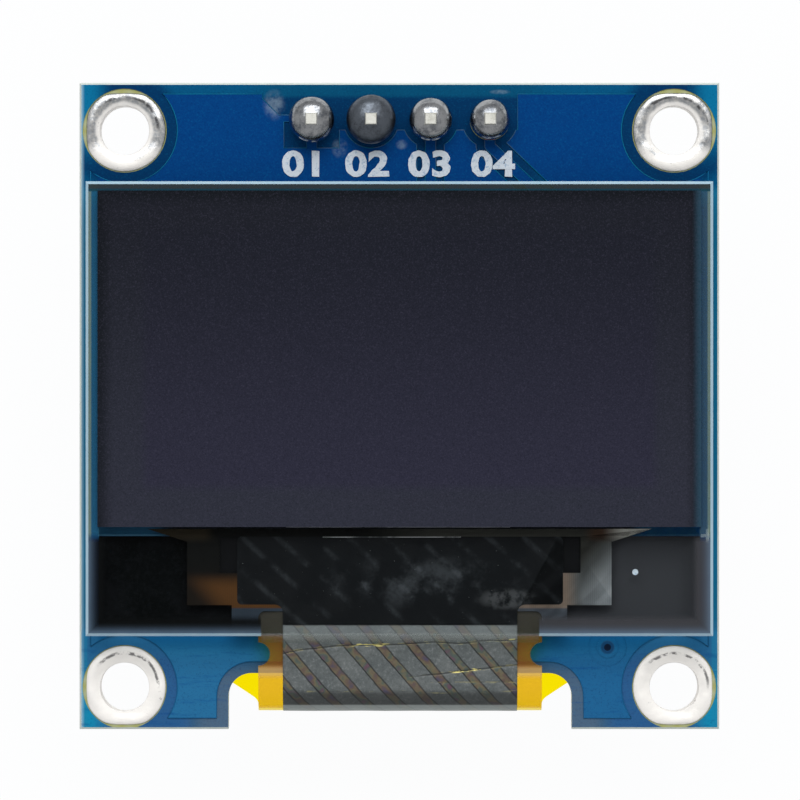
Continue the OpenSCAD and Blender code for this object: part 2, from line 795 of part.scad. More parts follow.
// Half section of a solder joint: a bulging flank under a low dome
module solder_half_2d(r) {
    centre_h = solder_h - solder_curl;
    intersection() {
        span(0, 0, r + 1, solder_h);
        union() {
            translate([r - solder_curl, centre_h]) circle(solder_curl);
            span(0, 0, r - solder_curl, solder_h);
        }
    }
}

module solder_joint(i) color([0.55, 0.56, 0.57])
    translate([pin_x(i), pin_row_y, 0]) difference() {
        union() {
            translate([0, 0, front_z]) rotate_extrude() solder_half_2d(solder_radii[i]);
            translate([0, 0, -skin]) cylinder(r = pin_hole_r, h = board_t + 2 * skin + eps);
        }
        pin_at_origin();
    }

// ---- Display panel ----

// End view of the substrate: a plate with its front edges chamfered
module glass_profile_2d(w) {
    c = glass_chamfer;
    polygon([[-w / 2, 0], [w / 2, 0], [w / 2, substrate_t - c], [w / 2 - c, substrate_t],
             [-w / 2 + c, substrate_t], [-w / 2, substrate_t - c]]);
}

module substrate_glass() color([0.75, 0.85, 0.9, 0.5])
    translate([0, panel_y, glass_z]) intersection() {
        translate([0, panel_h / 2, 0]) rotate([90, 0, 0])
            linear_extrude(panel_h) glass_profile_2d(panel_w);
        translate([-panel_w / 2, 0, 0]) rotate([90, 0, 90])
            linear_extrude(panel_w) glass_profile_2d(panel_h);
    }

module cap_2d() translate([0, cap_y]) square([cap_w, cap_h], center = true);

module cap_recess_2d()
    round_rect(0, cap_y, cap_w - 2 * seal_w, cap_h - 2 * seal_w, recess_corner_r);

module cap_glass() color([0.7, 0.8, 0.85, 0.6])
    translate([0, 0, cap_z]) difference() {
        linear_extrude(cap_t) cap_2d();
        translate([0, 0, cap_t - recess_depth]) linear_extrude(cap_t) cap_recess_2d();
    }

module leads_2d() {
    x = leads_w / 2;
    y0 = cap_y0 - leads_h;
    y1 = cap_y0 - leads_flare_drop;
    y2 = cap_y0 + leads_under;
    difference() {
        union() {
            polygon([[-x, y0], [x, y0], [x, y1], [x + leads_flare, y2],
                     [-x - leads_flare, y2], [-x, y1]]);
            span(-leads_foot_w / 2, panel_bottom + leads_edge, leads_foot_w / 2, y0);
        }
        span(flex_x - potting_w / 2, head_y - potting_h, flex_x + potting_w / 2, head_y);
        translate([flex_x, 0]) {
            cover_2d();
            film_front_2d();
        }
    }
}

module ledge_leads() color([0.45, 0.45, 0.44])
    translate([0, 0, leads_z]) linear_extrude(leads_t) leads_2d();

module edge_seal() color([0.8, 0.8, 0.7])
    difference() {
        translate([0, 0, seal_z]) linear_extrude(seal_t) difference() {
            cap_2d();
            cap_recess_2d();
        }
        translate([0, 0, leads_z]) linear_extrude(leads_t + eps) leads_2d();
    }

module desiccant() color([0.9, 0.9, 0.88])
    translate([0, 0, seal_z - recess_depth]) linear_extrude(desiccant_t)
        round_rect(0, cap_y, cap_w - 2 * (seal_w + desiccant_in),
                   cap_h - 2 * (seal_w + desiccant_in), desiccant_r);

module oled_layers() color([0.16, 0.15, 0.23])
    translate([0, 0, glass_z - oled_t]) linear_extrude(oled_t)
        span(-panel_w / 2 + active_side, active_y0, panel_w / 2 - active_side, active_y1);

module polariser() color([0.14, 0.15, 0.19])
    translate([0, 0, polariser_z]) linear_extrude(polariser_t)
        span(-panel_w / 2 + polariser_side, cap_y0 + polariser_rise,
             panel_w / 2 - polariser_side, panel_top - polariser_top);

module foam_tape() color([0.93, 0.93, 0.9])
    translate([0, 0, front_z]) linear_extrude(foam_t)
        round_rect(0, cap_y, cap_w - 2 * foam_in, cap_h - 2 * foam_in, foam_r);

// ---- Ledge: driver, potting and tape ----

module ledge_tape() color([0.04, 0.045, 0.05])
    translate([0, 0, front_z]) linear_extrude(ledge_tape_t)
        span(-cap_w / 2, panel_bottom + ledge_tape_rise, cap_w / 2, head_y);

module chip_solid()
    translate([flex_x - chip_w / 2, head_y - potting_h / 2 - chip_h / 2, flex_front_z - chip_t])
        cube([chip_w, chip_h, chip_t]);

module driver_chip() color([0.35, 0.36, 0.4]) chip_solid();

module potting_bar() color([0.03, 0.03, 0.035])
    difference() {
        translate([flex_x, 0, tape_top_z]) linear_extrude(flex_front_z - tape_top_z)
            span(-potting_w / 2, head_y - potting_h, potting_w / 2, head_y);
        chip_solid();
    }

// ---- Flex tail ----

// Side view of a layer folded round the board's edge: Y across, Z up
module fold_profile_2d(r_in, r_out, y_front, y_back) {
    difference() {
        union() {
            translate([fold_y, fold_z]) circle(r_out);
            span(fold_y, fold_z - r_out, fold_y + r_out, fold_z + r_out);
        }
        translate([fold_y, fold_z]) circle(r_in);
        span(fold_y, fold_z - r_in, fold_y + r_out + 1, fold_z + r_in);
    }
    span(fold_y, fold_z + r_in, y_front, fold_z + r_out);
    span(fold_y, fold_z - r_out, y_back, fold_z - r_in);
}

// The same layer as a solid of a given width
module folded_layer(w, r_in, r_out, y_front, y_back)
    translate([flex_x - w / 2, 0, 0]) rotate([90, 0, 90])
        linear_extrude(w) fold_profile_2d(r_in, r_out, y_front, y_back);

// Plan view of the film in front of the board: head, neck and side recesses
module film_front_2d() {
    y1 = head_y - cover_h - neck_drop;
    x = neck_w / 2;
    r = neck_corner_r;
    difference() {
        union() {
            span(-print_w / 2, y1 - 2 * r, print_w / 2, head_y - film_head_in);
            span(-x, fold_edge_y - r, x, y1 - r);
            span(-x + r, y1 - 2 * r, x - r, y1);
            for (s = [-1, 1]) translate([s * (x - r), y1 - r]) circle(r);
        }
        for (s = [-1, 1]) translate([s * x, panel_bottom - recess_drop]) circle(recess_r);
    }
}

// Plan view of the film behind the board: neck, shoulders and wide tail
module film_back_2d() {
    x = neck_w / 2;
    w = tail_w / 2;
    r = flare_fillet_r;
    a = flare_angle;
    // the fillet's centre lies beside the neck, its arc ends along the shoulder
    cy = flare_y - r * (1 - sin(a)) / cos(a);
    right = concat([[x, fold_edge_y - r]],
                   arc(x + r, cy, r, 180, 90 + a, 10),
                   [[w, cy + r * cos(a) + (w - x - r + r * sin(a)) * tan(a)], [w, tail_y]]);
    polygon(concat(right, [for (i = [len(right) - 1:-1:0]) [-right[i].x, right[i].y]]));
}

module flex_film() color([0.95, 0.65, 0.15]) {
    intersection() {
        folded_layer(tail_w, fold_r - flex_t, fold_r, head_y - film_head_in, tail_y);
        translate([flex_x, 0, 0]) union() {
            translate([0, 0, fold_z]) linear_extrude(far) film_front_2d();
            translate([0, 0, fold_z - far]) linear_extrude(far) film_back_2d();
        }
    }
}

module flex_print() color([0.36, 0.38, 0.38])
    folded_layer(print_w, fold_r, fold_r + print_t,
                 head_y - cover_h - stem_h, tail_y - contact_l);

// Black T-shaped cover over the flex's head
module cover_2d() {
    x = cover_w / 2;
    s = print_w / 2;
    r = cover_corner_r;
    f = cover_fillet_r;
    y0 = head_y - cover_h;
    round_rect(0, head_y - cover_h / 2, cover_w, cover_h, r);
    span(-s, y0 - stem_h, s, y0 + r);
    for (m = [-1, 1]) scale([m, 1]) difference() {
        span(s, y0 - f, s + f, y0);
        translate([s + f, y0 - f]) circle(f);
    }
}

module flex_cover() color([0.09, 0.095, 0.1])
    translate([flex_x, 0, cover_z]) linear_extrude(cover_t) cover_2d();

// Clear bead that joins the panel's lower edge to the flex
module flex_resin() color([0.8, 0.82, 0.8, 0.6])
    difference() {
        w = neck_w - 2 * resin_in;
        chamfer_z = polariser_z - glass_chamfer;
        translate([flex_x - w / 2, panel_bottom, 0]) rotate([90, 0, 90])
            linear_extrude(w) polygon([
                [0, cover_z], [0, chamfer_z], [glass_chamfer, polariser_z], [-resin_skin, chamfer_z],
                [-resin_reach, cover_z + resin_foot], [-resin_reach, cover_z]]);
        translate([flex_x - print_w / 2, panel_bottom - 2 * resin_reach, cover_z - eps])
            cube([print_w, 3 * resin_reach, print_t + eps]);
    }

module flex_fingers() color([0.85, 0.75, 0.5])
    translate([0, 0, back_z - contact_t]) linear_extrude(contact_t) intersection() {
        tail_pads_2d();
        span(-far, -far, far, tail_y);
    }

// Pads of the board with their solder beyond the film's edge
module tail_pads() color([0.75, 0.76, 0.76]) {
    solder_r = (pow(contact_toe, 2) + pow(contact_solder, 2)) / (2 * contact_solder);
    translate([0, 0, -skin]) linear_extrude(skin) tail_pads_2d();
    for (i = [0:contacts - 1])
        translate([contact_x(i) - contact_w / 2, tail_y, back_z + eps / 2])
            rotate([90, 0, 90]) linear_extrude(contact_w) intersection() {
                translate([0, solder_r - contact_solder]) circle(solder_r);
                span(0, -contact_solder, contact_toe, 0);
            }
}

// ---- Small parts on the back ----

module part_body(p, h, tone) color(tone)
    translate([0, 0, back_z]) at_part(p)
        translate([-part_reach + terminal_wall, -chip_part_w / 2 + terminal_wall,
                   -h + terminal_wall])
            cube([chip_part_l - 2 * terminal_wall, chip_part_w - 2 * terminal_wall,
                  h - 2 * terminal_wall]);

module capacitor(i) part_body(capacitors[i], capacitor_h, [0.62, 0.5, 0.36]);

module resistor(i) part_body(resistors[i], resistor_h, [0.1, 0.1, 0.1]);

module part_ends(p, h) {
    w = chip_part_w;
    k = terminal_wall;
    at_part(p) for (s = [-1, 1]) scale([s, 1]) difference() {
        translate([part_reach - terminal_l, -w / 2, back_z - h]) cube([terminal_l, w, h]);
        translate([0, -w / 2 + k, back_z - h + k])
            cube([part_reach - k, w - 2 * k, h - 2 * k]);
    }
}

module part_terminals() color([0.78, 0.78, 0.77]) {
    for (p = capacitors) part_ends(p, capacitor_h);
    for (p = resistors) part_ends(p, resistor_h);
}

// A concave fillet of solder against a terminal, on its pad
module solder_fillet(w, toe)
    translate([0, w / 2, 0]) rotate([90, 0, 0]) linear_extrude(w) difference() {
        span(0, -toe, toe, 0);
        translate([toe, -toe]) circle(toe);
    }

module part_solder() color([0.7, 0.71, 0.72]) {
    translate([0, 0, -skin]) linear_extrude(skin) small_pads_2d();
    translate([0, 0, back_z + eps / 2]) {
        for (p = concat(capacitors, resistors)) at_part(p) for (s = [-1, 1]) scale([s, 1])
            translate([part_reach, 0]) solder_fillet(chip_part_w, solder_toe);
    }
}

// End view of a moulded body: sides that lean in from a parting line at half height
module body_profile_2d(w, h)
    polygon([[-w / 2 + body_draft, 0], [-w / 2, h / 2], [-w / 2 + body_draft, h],
             [w / 2 - body_draft, h], [w / 2, h / 2], [w / 2 - body_draft, 0]]);

// A moulded body, x by y by h, below the board
module moulded_body(at, x, y, h) color([0.08, 0.08, 0.085])
    translate([at.x, at.y, back_z - body_lift - h]) intersection() {
        translate([0, y, 0]) rotate([90, 0, 0]) linear_extrude(2 * y) body_profile_2d(x, h);
        translate([-x, 0, 0]) rotate([90, 0, 90]) linear_extrude(2 * x) body_profile_2d(y, h);
    }

// Side view of a bent lead, from the body's side down to its pad
module gull_wing_2d(y0, y1, h) {
    t = lead_t;
    drop = body_lift + h / 2;
    knee = y0 + lead_knee;
    span(y0, -drop - t / 2, knee, -drop + t / 2);
    span(knee - t, -drop - t / 2, knee, 0);
    span(knee - t, -t, y1, 0);
}

// Bent leads of a moulded body: leads_at holds each lead's x and its side
module bent_leads(at, leads_at, w, y0, y1, h) color([0.78, 0.78, 0.77])
    translate([at.x, at.y, back_z]) for (l = leads_at)
        translate([l.x, 0, 0]) scale([1, l.y]) translate([-w / 2, 0, 0])
            rotate([90, 0, 90]) linear_extrude(w) gull_wing_2d(y0, y1, h);

module regulator_body() moulded_body(regulator_at, regulator_l, regulator_w, regulator_h);

module regulator_leads()
    bent_leads(regulator_at, regulator_leads_at, lead_w, regulator_w / 2, regulator_span / 2,
               regulator_h);

module diode_body() moulded_body(diode_at, diode_w, diode_l, diode_h);

module diode_leads()
    bent_leads(diode_at, diode_leads_at, diode_lead_w, diode_l / 2, diode_l / 2 + diode_reach,
               diode_h);

// ---- Assembly ----

board();
front_copper();
back_copper();
front_mask();
back_mask();
vias();
for (i = [0:3]) hole_plating(i);
pin_platings();
header_body();
for (i = [0:pins - 1]) header_pin(i);
for (i = [0:pins - 1]) solder_joint(i);
substrate_glass();
cap_glass();
edge_seal();
desiccant();
oled_layers();
polariser();
ledge_leads();
driver_chip();
potting_bar();
ledge_tape();
foam_tape();
flex_cover();
flex_film();
flex_print();
flex_resin();
flex_fingers();
tail_pads();
for (i = [0:5]) capacitor(i);
for (i = [0:7]) resistor(i);
part_terminals();
part_solder();
regulator_body();
regulator_leads();
diode_body();
diode_leads();
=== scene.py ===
import json
import logging
import math
from dataclasses import dataclass
from enum import Enum
from typing import Sequence

import bmesh
import bpy
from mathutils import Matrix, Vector, noise


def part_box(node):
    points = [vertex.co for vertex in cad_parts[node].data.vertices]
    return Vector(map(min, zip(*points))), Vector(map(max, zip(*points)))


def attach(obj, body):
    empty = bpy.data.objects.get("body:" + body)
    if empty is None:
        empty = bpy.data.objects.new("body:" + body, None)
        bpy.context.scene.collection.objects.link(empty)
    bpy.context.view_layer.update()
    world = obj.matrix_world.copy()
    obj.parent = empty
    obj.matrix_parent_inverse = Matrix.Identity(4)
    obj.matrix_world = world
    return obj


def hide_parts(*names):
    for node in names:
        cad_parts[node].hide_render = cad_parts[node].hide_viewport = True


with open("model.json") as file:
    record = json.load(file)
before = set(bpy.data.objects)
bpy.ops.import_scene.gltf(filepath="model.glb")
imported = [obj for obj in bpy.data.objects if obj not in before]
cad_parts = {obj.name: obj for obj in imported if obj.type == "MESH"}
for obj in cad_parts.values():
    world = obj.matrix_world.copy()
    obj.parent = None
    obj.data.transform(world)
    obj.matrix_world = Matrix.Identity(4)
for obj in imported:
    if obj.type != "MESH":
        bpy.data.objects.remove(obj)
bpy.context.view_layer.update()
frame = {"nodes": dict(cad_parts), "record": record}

LOG = logging.getLogger("oled_module")
MM = 0.001
BODY = "root"

Point = tuple[float, float, float]
Colour = tuple[float, float, float]
Value = "Wire | float"


# ---- Small helpers -------------------------------------------------------------------


def tone(red: int, green: int, blue: int) -> Colour:
    """A colour from its display values, 0 to 255, as linear light."""
    return tuple(
        c / 12.92 if c <= 0.04045 else ((c + 0.055) / 1.055) ** 2.4
        for c in (red / 255, green / 255, blue / 255)
    )


def box_mm(node: str) -> tuple[Vector, Vector]:
    """Lowest and highest corners of a CAD node, in millimetres."""
    low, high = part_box(node)
    return low / MM, high / MM


def lumps(x: float, y: float, z: float, size: float, seed: float) -> float:
    """Smooth noise from -1 to 1 at a place in millimetres, with lumps of that size."""
    return noise.noise(Vector((x, y, z + seed)) / size)


# ---- Shader arithmetic ---------------------------------------------------------------


class Wire:
    """One output of a shader node, which adds Math nodes when it is used in sums."""

    def __init__(self, tree: "ShaderTree", socket: bpy.types.NodeSocket) -> None:
        """Keeps the tree and the socket."""
        self.tree = tree
        self.socket = socket

    def __add__(self, other: "Value") -> "Wire":
        """self + other."""
        return self.tree.math("ADD", self, other)

    def __radd__(self, other: "Value") -> "Wire":
        """other + self."""
        return self.tree.math("ADD", other, self)

    def __sub__(self, other: "Value") -> "Wire":
        """self - other."""
        return self.tree.math("SUBTRACT", self, other)

    def __rsub__(self, other: "Value") -> "Wire":
        """other - self."""
        return self.tree.math("SUBTRACT", other, self)

    def __mul__(self, other: "Value") -> "Wire":
        """self * other."""
        return self.tree.math("MULTIPLY", self, other)

    def __rmul__(self, other: "Value") -> "Wire":
        """other * self."""
        return self.tree.math("MULTIPLY", other, self)

    def __truediv__(self, other: "Value") -> "Wire":
        """self / other."""
        return self.tree.math("DIVIDE", self, other)

    def __abs__(self) -> "Wire":
        """Size without its sign."""
        return self.tree.math("ABSOLUTE", self)

    def __pow__(self, other: "Value") -> "Wire":
        """self to a power."""
        return self.tree.math("POWER", self, other)

    def low(self, other: "Value") -> "Wire":
        """The smaller of two values."""
        return self.tree.math("MINIMUM", self, other)

    def high(self, other: "Value") -> "Wire":
        """The larger of two values."""
        return self.tree.math("MAXIMUM", self, other)

    def ramp(self, start: float, end: float) -> "Wire":
        """A smooth step: 0 at start, 1 at end, whichever of them is larger."""
        return self.tree.math("SMOOTH_RAMP", self, start, end)

    def wave(self) -> "Wire":
        """A triangle wave from 0 to 1 and back, once per unit."""
        return self.tree.math("PINGPONG", self, 0.5) * 2.0


class ShaderTree:
    """The node tree of one material or world, with a short way to add each node."""

    def __init__(self, owner: bpy.types.ID) -> None:
        """Empties the owner's node tree."""
        self.owner = owner
        owner.use_nodes = True
        self.tree = owner.node_tree
        self.tree.nodes.clear()
        self._place: Wire | None = None

    @classmethod
    def material(cls, name: str) -> "ShaderTree":
        """The tree of a new material."""
        return cls(bpy.data.materials.new(name))

    def node(self, kind: str, settings: dict | None = None, inputs: dict | None = None) -> bpy.types.Node:
        """Adds a node.

        Args:
            kind: The node's type, without "ShaderNode".
            settings: Properties to set first; "stops" holds a ramp's stops.
            inputs: Values or wires, by the socket's name or index.

        Returns:
            The new node.
        """
        made = self.tree.nodes.new("ShaderNode" + kind)
        for key, value in (settings or {}).items():
            if key == "stops":
                self._stops(made.color_ramp, value)
            else:
                setattr(made, key, value)
        for key, value in (inputs or {}).items():
            self.join(value, made.inputs[key])
        return made

    @staticmethod
    def _stops(ramp: bpy.types.ColorRamp, stops: Sequence[tuple[float, Colour]]) -> None:
        """Gives a ramp its stops."""
        while len(ramp.elements) < len(stops):
            ramp.elements.new(1.0)
        for element, (place, colour) in zip(ramp.elements, stops):
            element.position = place
            element.color = (*colour, 1.0)

    def join(self, value: object, socket: bpy.types.NodeSocket) -> None:
        """Links a wire to a socket, or sets the socket's own value."""
        if isinstance(value, Wire):
            self.tree.links.new(value.socket, socket)
        elif isinstance(value, bpy.types.NodeSocket):
            self.tree.links.new(value, socket)
        elif isinstance(value, tuple) and socket.type == "RGBA":
            socket.default_value = (*value, 1.0)[:4]
        else:
            socket.default_value = value

    def math(self, operation: str, *values: "Value") -> Wire:
        """A Math node, or a smooth step for SMOOTH_RAMP."""
        if operation == "SMOOTH_RAMP":
            value, start, end = values
            settings = {"interpolation_type": "SMOOTHSTEP"}
            low, high, flip = (start, end, False) if start < end else (end, start, True)
            made = self.node("MapRange", settings, {0: value, 1: low, 2: high, 3: float(flip), 4: float(not flip)})
            return Wire(self, made.outputs[0])
        made = self.node("Math", {"operation": operation}, dict(enumerate(values)))
        return Wire(self, made.outputs[0])

    def vector(self, operation: str, first: object, second: object = None, scale: float | None = None) -> Wire:
        """A Vector Math node."""
        inputs = {0: first}
        if second is not None:
            inputs[1] = second
        if scale is not None:
            inputs["Scale"] = scale
        made = self.node("VectorMath", {"operation": operation}, inputs)
        return Wire(self, made.outputs["Value" if operation in ("DOT_PRODUCT", "LENGTH") else "Vector"])

    def mix(self, share: "Value", first: object, second: object, blend: str = "MIX") -> Wire:
        """Mixes two colours by a share from 0 to 1."""
        settings = {"data_type": "RGBA", "blend_type": blend}
        made = self.node("Mix", settings, {0: share, 6: first, 7: second})
        return Wire(self, made.outputs[2])

    @property
    def place(self) -> Wire:
        """The surface point in millimetres, in the part's frame."""
        if self._place is None:
            made = self.node("TexCoord")
            self._place = self.vector("SCALE", Wire(self, made.outputs["Object"]), scale=1 / MM)
        return self._place

    def axes(self, source: Wire | None = None) -> tuple[Wire, Wire, Wire]:
        """The three parts of a vector, by default of the surface point."""
        made = self.node("SeparateXYZ", None, {0: source or self.place})
        return tuple(Wire(self, made.outputs[i]) for i in range(3))

    def facing(self) -> tuple[Wire, Wire, Wire]:
        """The parts of the surface's direction, in the part's frame."""
        made = self.node("TexCoord")
        return self.axes(Wire(self, made.outputs["Normal"]))

    def stretched(self, x: float, y: float, z: float) -> Wire:
        """The surface point scaled along each axis."""
        return self.vector("MULTIPLY", self.place, (x, y, z))

    def grain(self, scale: float, detail: float = 2.0, rough: float = 0.5, at: Wire | None = None) -> Wire:
        """Noise from 0 to 1, with scale lumps per millimetre."""
        made = self.node(
            "TexNoise", None, {"Vector": at or self.place, "Scale": scale, "Detail": detail, "Roughness": rough}
        )
        return Wire(self, made.outputs[0])

    def cells(self, scale: float, at: Wire | None = None, feature: str = "F1") -> Wire:
        """Distance to the nearest cell point, with scale cells per millimetre."""
        made = self.node("TexVoronoi", {"feature": feature}, {"Vector": at or self.place, "Scale": scale})
        return Wire(self, made.outputs["Distance"])

    def bump(self, height: Wire, strength: float, distance: float, under: Wire | None = None) -> Wire:
        """A Bump node.

        Args:
            height: The height, where 1 stands distance above 0.
            strength: Its share, from 0 to 1.
            distance: The height of 1, in millimetres.
            under: Another bump that this one lies on.

        Returns:
            The changed normal.
        """
        inputs = {"Height": height, "Strength": strength, "Distance": distance * MM}
        if under is not None:
            inputs["Normal"] = under
        return Wire(self, self.node("Bump", None, inputs).outputs[0])

    def principled(self, inputs: dict) -> Wire:
        """A Principled node's surface."""
        return Wire(self, self.node("BsdfPrincipled", None, inputs).outputs[0])

    def blend(self, share: "Value", first: Wire, second: Wire) -> Wire:
        """Mixes two surfaces."""
        return Wire(self, self.node("MixShader", None, {0: share, 1: first, 2: second}).outputs[0])

    def colours(self, value: "Value", stops: Sequence[tuple[float, Colour]]) -> Wire:
        """A colour ramp."""
        return Wire(self, self.node("ValToRGB", {"stops": stops}, {0: value}).outputs[0])

    def spot(self, x: float, y: float, reach_x: float, reach_y: float) -> Wire:
        """A soft oval patch in plan: 1 at its middle, 0 at its rim."""
        px, py, _ = self.axes()
        across, along = (px - x) / reach_x, (py - y) / reach_y
        return (across * across + along * along).ramp(1.0, 0.0)

    def finish(self, surface: Wire, kind: str = "Material") -> bpy.types.ID:
        """Gives the owner its surface and returns it."""
        self.node("Output" + kind, None, {"Surface": surface})
        return self.owner


# ---- Finishes ------------------------------------------------------------------------


class Finish:
    """A finish that makes its material once and hands it out again."""

    _made: dict[str, bpy.types.Material] = {}
    slot = ""

    @property
    def key(self) -> str:
        """The material's name."""
        return "finish_" + type(self).__name__.lower() + getattr(self, "suffix", "")

    def material(self) -> bpy.types.Material:
        """The material, made on first use."""
        if self.key not in Finish._made:
            tree = ShaderTree.material(self.key)
            Finish._made[self.key] = tree.finish(self.surface(tree))
        return Finish._made[self.key]

    def surface(self, tree: ShaderTree) -> Wire:
        """The shader of this finish."""
        raise NotImplementedError


@dataclass(frozen=True)
class Laminate(Finish):
    """Glass-fibre board: pale cut edges with fibre ends, an olive face where the mask is open."""

    slot: str = "laminate"
    face: Colour = tone(158, 160, 92)
    cut: Colour = tone(184, 196, 190)
    fibre: Colour = tone(214, 222, 214)

    def surface(self, tree: ShaderTree) -> Wire:
        """Faces show the weave, edges show fibre bundles."""
        _, _, up = tree.facing()
        flat = abs(up).ramp(0.6, 0.95)
        x, y, _ = tree.axes()
        weave = (x * 1.6).wave() * (y * 1.6).wave()
        strands = tree.grain(2.2, 4.0, 0.7, tree.stretched(1.0, 1.0, 5.0))
        edge = tree.mix(strands.ramp(0.35, 0.7), self.cut, self.fibre)
        face = tree.mix(weave * 0.35, self.face, self.cut)
        rough = 0.45 + strands * 0.3
        normal = tree.bump(strands + weave * 0.3, 0.5, 0.02)
        return tree.principled(
            {"Base Color": tree.mix(flat, edge, face), "Roughness": rough, "Normal": normal, "IOR": 1.5}
        )


@dataclass(frozen=True)
class BlueMask(Finish):
    """Blue solder mask, flux-stained in places, with painted light and shade: a teal glow at the far corners, darker
    within the header's width, a sheen on the lower strip, and lighter strips beside and below the glass.
    """

    slot: str = "blue_mask"
    on_copper: Colour = tone(2, 60, 122)
    on_laminate: Colour = tone(2, 50, 92)
    strip: Colour = tone(4, 80, 122)
    # Painted light: the two corner colours stand in for light glowing up through the board near its edges.
    corner: Colour = tone(10, 116, 160)
    low_corner: Colour = tone(14, 138, 176)
    # Painted sheen: the next colour lightens the lower strip below the glass.
    worn: Colour = tone(40, 106, 150)
    flux: Colour = tone(150, 172, 186)
    rim: Colour = tone(84, 104, 124)

    def surface(self, tree: ShaderTree) -> Wire:
        """Colour follows the mask's level, the board's rims, painted light and shade (the board's glow, the lower
        strip's sheen, the strips by the glass) and the flux.
        """
        x, y, z = tree.axes()
        low, high = box_mm("front_mask")
        edge = box_mm("board")[1]
        copper = box_mm("front_copper")
        glass = box_mm("substrate_glass")
        rise = copper[1].z - copper[0].z
        raised = abs(z - low.z / 2).ramp(high.z - low.z / 2 - rise * 0.6, high.z - low.z / 2 - rise * 0.3)
        for via in open_vias():
            raised = raised.high(tree.spot(via.x, via.y, 1.3, 1.3).ramp(0.0, 0.3))
        raised = raised * (1.0 - abs(x).ramp(12.7, 13.0) * abs(y).ramp(8.4, 9.0))
        pins = box_mm("header_body")
        # Painted shade: away from the header the bare mask takes the paler strip colour; within the header's width it
        # stays darker, where the header body stops the light shining up through the board.
        beside = (abs(x - (pins[0].x + pins[1].x) / 2) - (pins[1].x - pins[0].x) / 2).ramp(0.3, 1.6)
        top = y.ramp(copper[1].y - 0.25, copper[1].y)
        bare = tree.mix(beside, tree.mix(top, self.on_laminate, tone(5, 76, 112)), self.strip)
        near_hole = abs(x).ramp(8.6, 9.2) * abs(y).ramp(8.9, 9.3)
        ring = ((abs(x) - 11.75) * (abs(x) - 11.75) + (abs(y) - 11.9) * (abs(y) - 11.9)).ramp(7.8, 4.6)
        bare = tree.mix(near_hole * ring * y.ramp(0.0, 1.0), bare, self.on_laminate)
        low_ring = near_hole * y.ramp(0.0, -1.0)
        bare = tree.mix(low_ring * 0.8, bare, tone(50, 92, 140))
        # Painted light: the far corners of the bare mask turn a paler teal, a painted glow of light through the
        # translucent board.
        corner_glow_share = abs(x).ramp(12.2, 13.3) * abs(y).ramp(10.0, 12.4)
        bare = tree.mix(corner_glow_share * 0.85, bare, tree.mix(y.ramp(4.0, -4.0), self.corner, self.low_corner))
        notch = abs(x).ramp(9.4, 8.2) * y.ramp(copper[0].y + 2.9, copper[0].y + 1.6)
        bare = tree.mix(notch * 0.8, bare, self.rim)
        cloud = tree.grain(0.28, 3.0, 0.6)
        below = y.ramp(glass[0].y - 0.05, glass[0].y - 0.9)
        # Painted sheen: the lower strip below the glass is lightened, more towards the left, standing in for a
        # softbox's reflection.
        worn = below * (0.62 + x.ramp(6.0, -12.0) * 0.35 + cloud * 0.2)
        over = tree.mix(worn, self.on_copper, self.worn)
        colour = tree.mix(raised, bare, over)
        fine = tree.grain(13.0, 3.0, 0.7)
        colour = tree.mix(fine.ramp(0.5, 0.8) * 0.3, colour, tone(10, 112, 160))
        colour = tree.mix(fine.ramp(0.5, 0.25) * 0.4, colour, tone(0, 36, 84))
        # Painted light: the strips beside the glass and the board's left rim are lightened to fill the shadow of the
        # glass's sides.
        lit_beside_glass = abs(x).ramp(glass[1].x - 0.05, glass[1].x + 0.05) * y.ramp(glass[1].y, glass[1].y - 0.5)
        colour = tree.mix(lit_beside_glass * 0.5, colour, tone(30, 128, 164))
        colour = tree.mix(x.ramp(0.26 - edge.x, 0.08 - edge.x) * 0.75, colour, tone(150, 188, 208))
        # Painted light: the strip just below the glass is lightened to fill the shadow the glass's edge casts there.
        shaded = y.ramp(glass[0].y - 1.3, glass[0].y - 0.3)
        colour = tree.mix(shaded * y.ramp(glass[0].y + 0.4, glass[0].y) * 0.35, colour, tone(40, 140, 190))
        streak = tree.grain(1.0, 4.0, 0.7, tree.stretched(0.5, 5.0, 1.0)).ramp(0.52, 0.7)
        colour = tree.mix(streak * below * 0.5, colour, tone(12, 70, 130))
        residue = tree.spot(-5.35, 13.0, 0.55, 0.75).high(tree.spot(-2.55, 11.15, 0.4, 0.5))
        residue = residue.high(tree.spot(4.3, 13.55, 0.5, 0.12)).high(tree.spot(0.1, 11.3, 0.3, 0.25))
        residue = residue * tree.grain(2.0, 5.0, 0.7).ramp(0.3, 0.7)
        colour = tree.mix(residue * 0.4, colour, self.flux)
        normal = tree.bump(fine, 0.25, 0.012, tree.bump(tree.grain(2.6, 2.0, 0.4), 0.5, 0.012))
        rough = 0.34 + cloud * 0.12 + streak * 0.1
        return tree.principled(
            {"Base Color": colour, "Roughness": rough, "Normal": normal, "IOR": 1.48, "Specular IOR Level": 0.03}
        )


@dataclass(frozen=True)
class MaskShoulder(Finish):
    """The thin rounded shoulder of the mask over the copper's edge, a little paler."""

    slot: str = "blue_mask"
    colour: Colour = tone(8, 104, 140)
    by_header: Colour = tone(70, 84, 122)

    def surface(self, tree: ShaderTree) -> Wire:
        """Teal, and a purple grey of flux beside the header."""
        cloud = tree.grain(0.6, 3.0, 0.6)
        x, y, _ = tree.axes()
        header = abs(x).ramp(5.6, 4.6) * y.ramp(10.2, 10.8) * tree.grain(1.6, 3.0, 0.6).ramp(0.35, 0.6)
        colour = tree.mix(cloud.ramp(0.3, 0.75), tone(4, 82, 122), self.colour)
        lower = y.ramp(-9.0, -10.0)
        colour = tree.mix(lower * 0.7, colour, tone(30, 88, 136))
        colour = tree.mix(header * 0.7, colour, self.by_header)
        colour = tree.mix(abs(x).ramp(12.3, 12.8) * y.ramp(-9.0, -8.0), colour, tone(6, 96, 140))
        return tree.principled(
            {"Base Color": colour, "Roughness": 0.3 + cloud * 0.1, "IOR": 1.48, "Specular IOR Level": 0.06}
        )


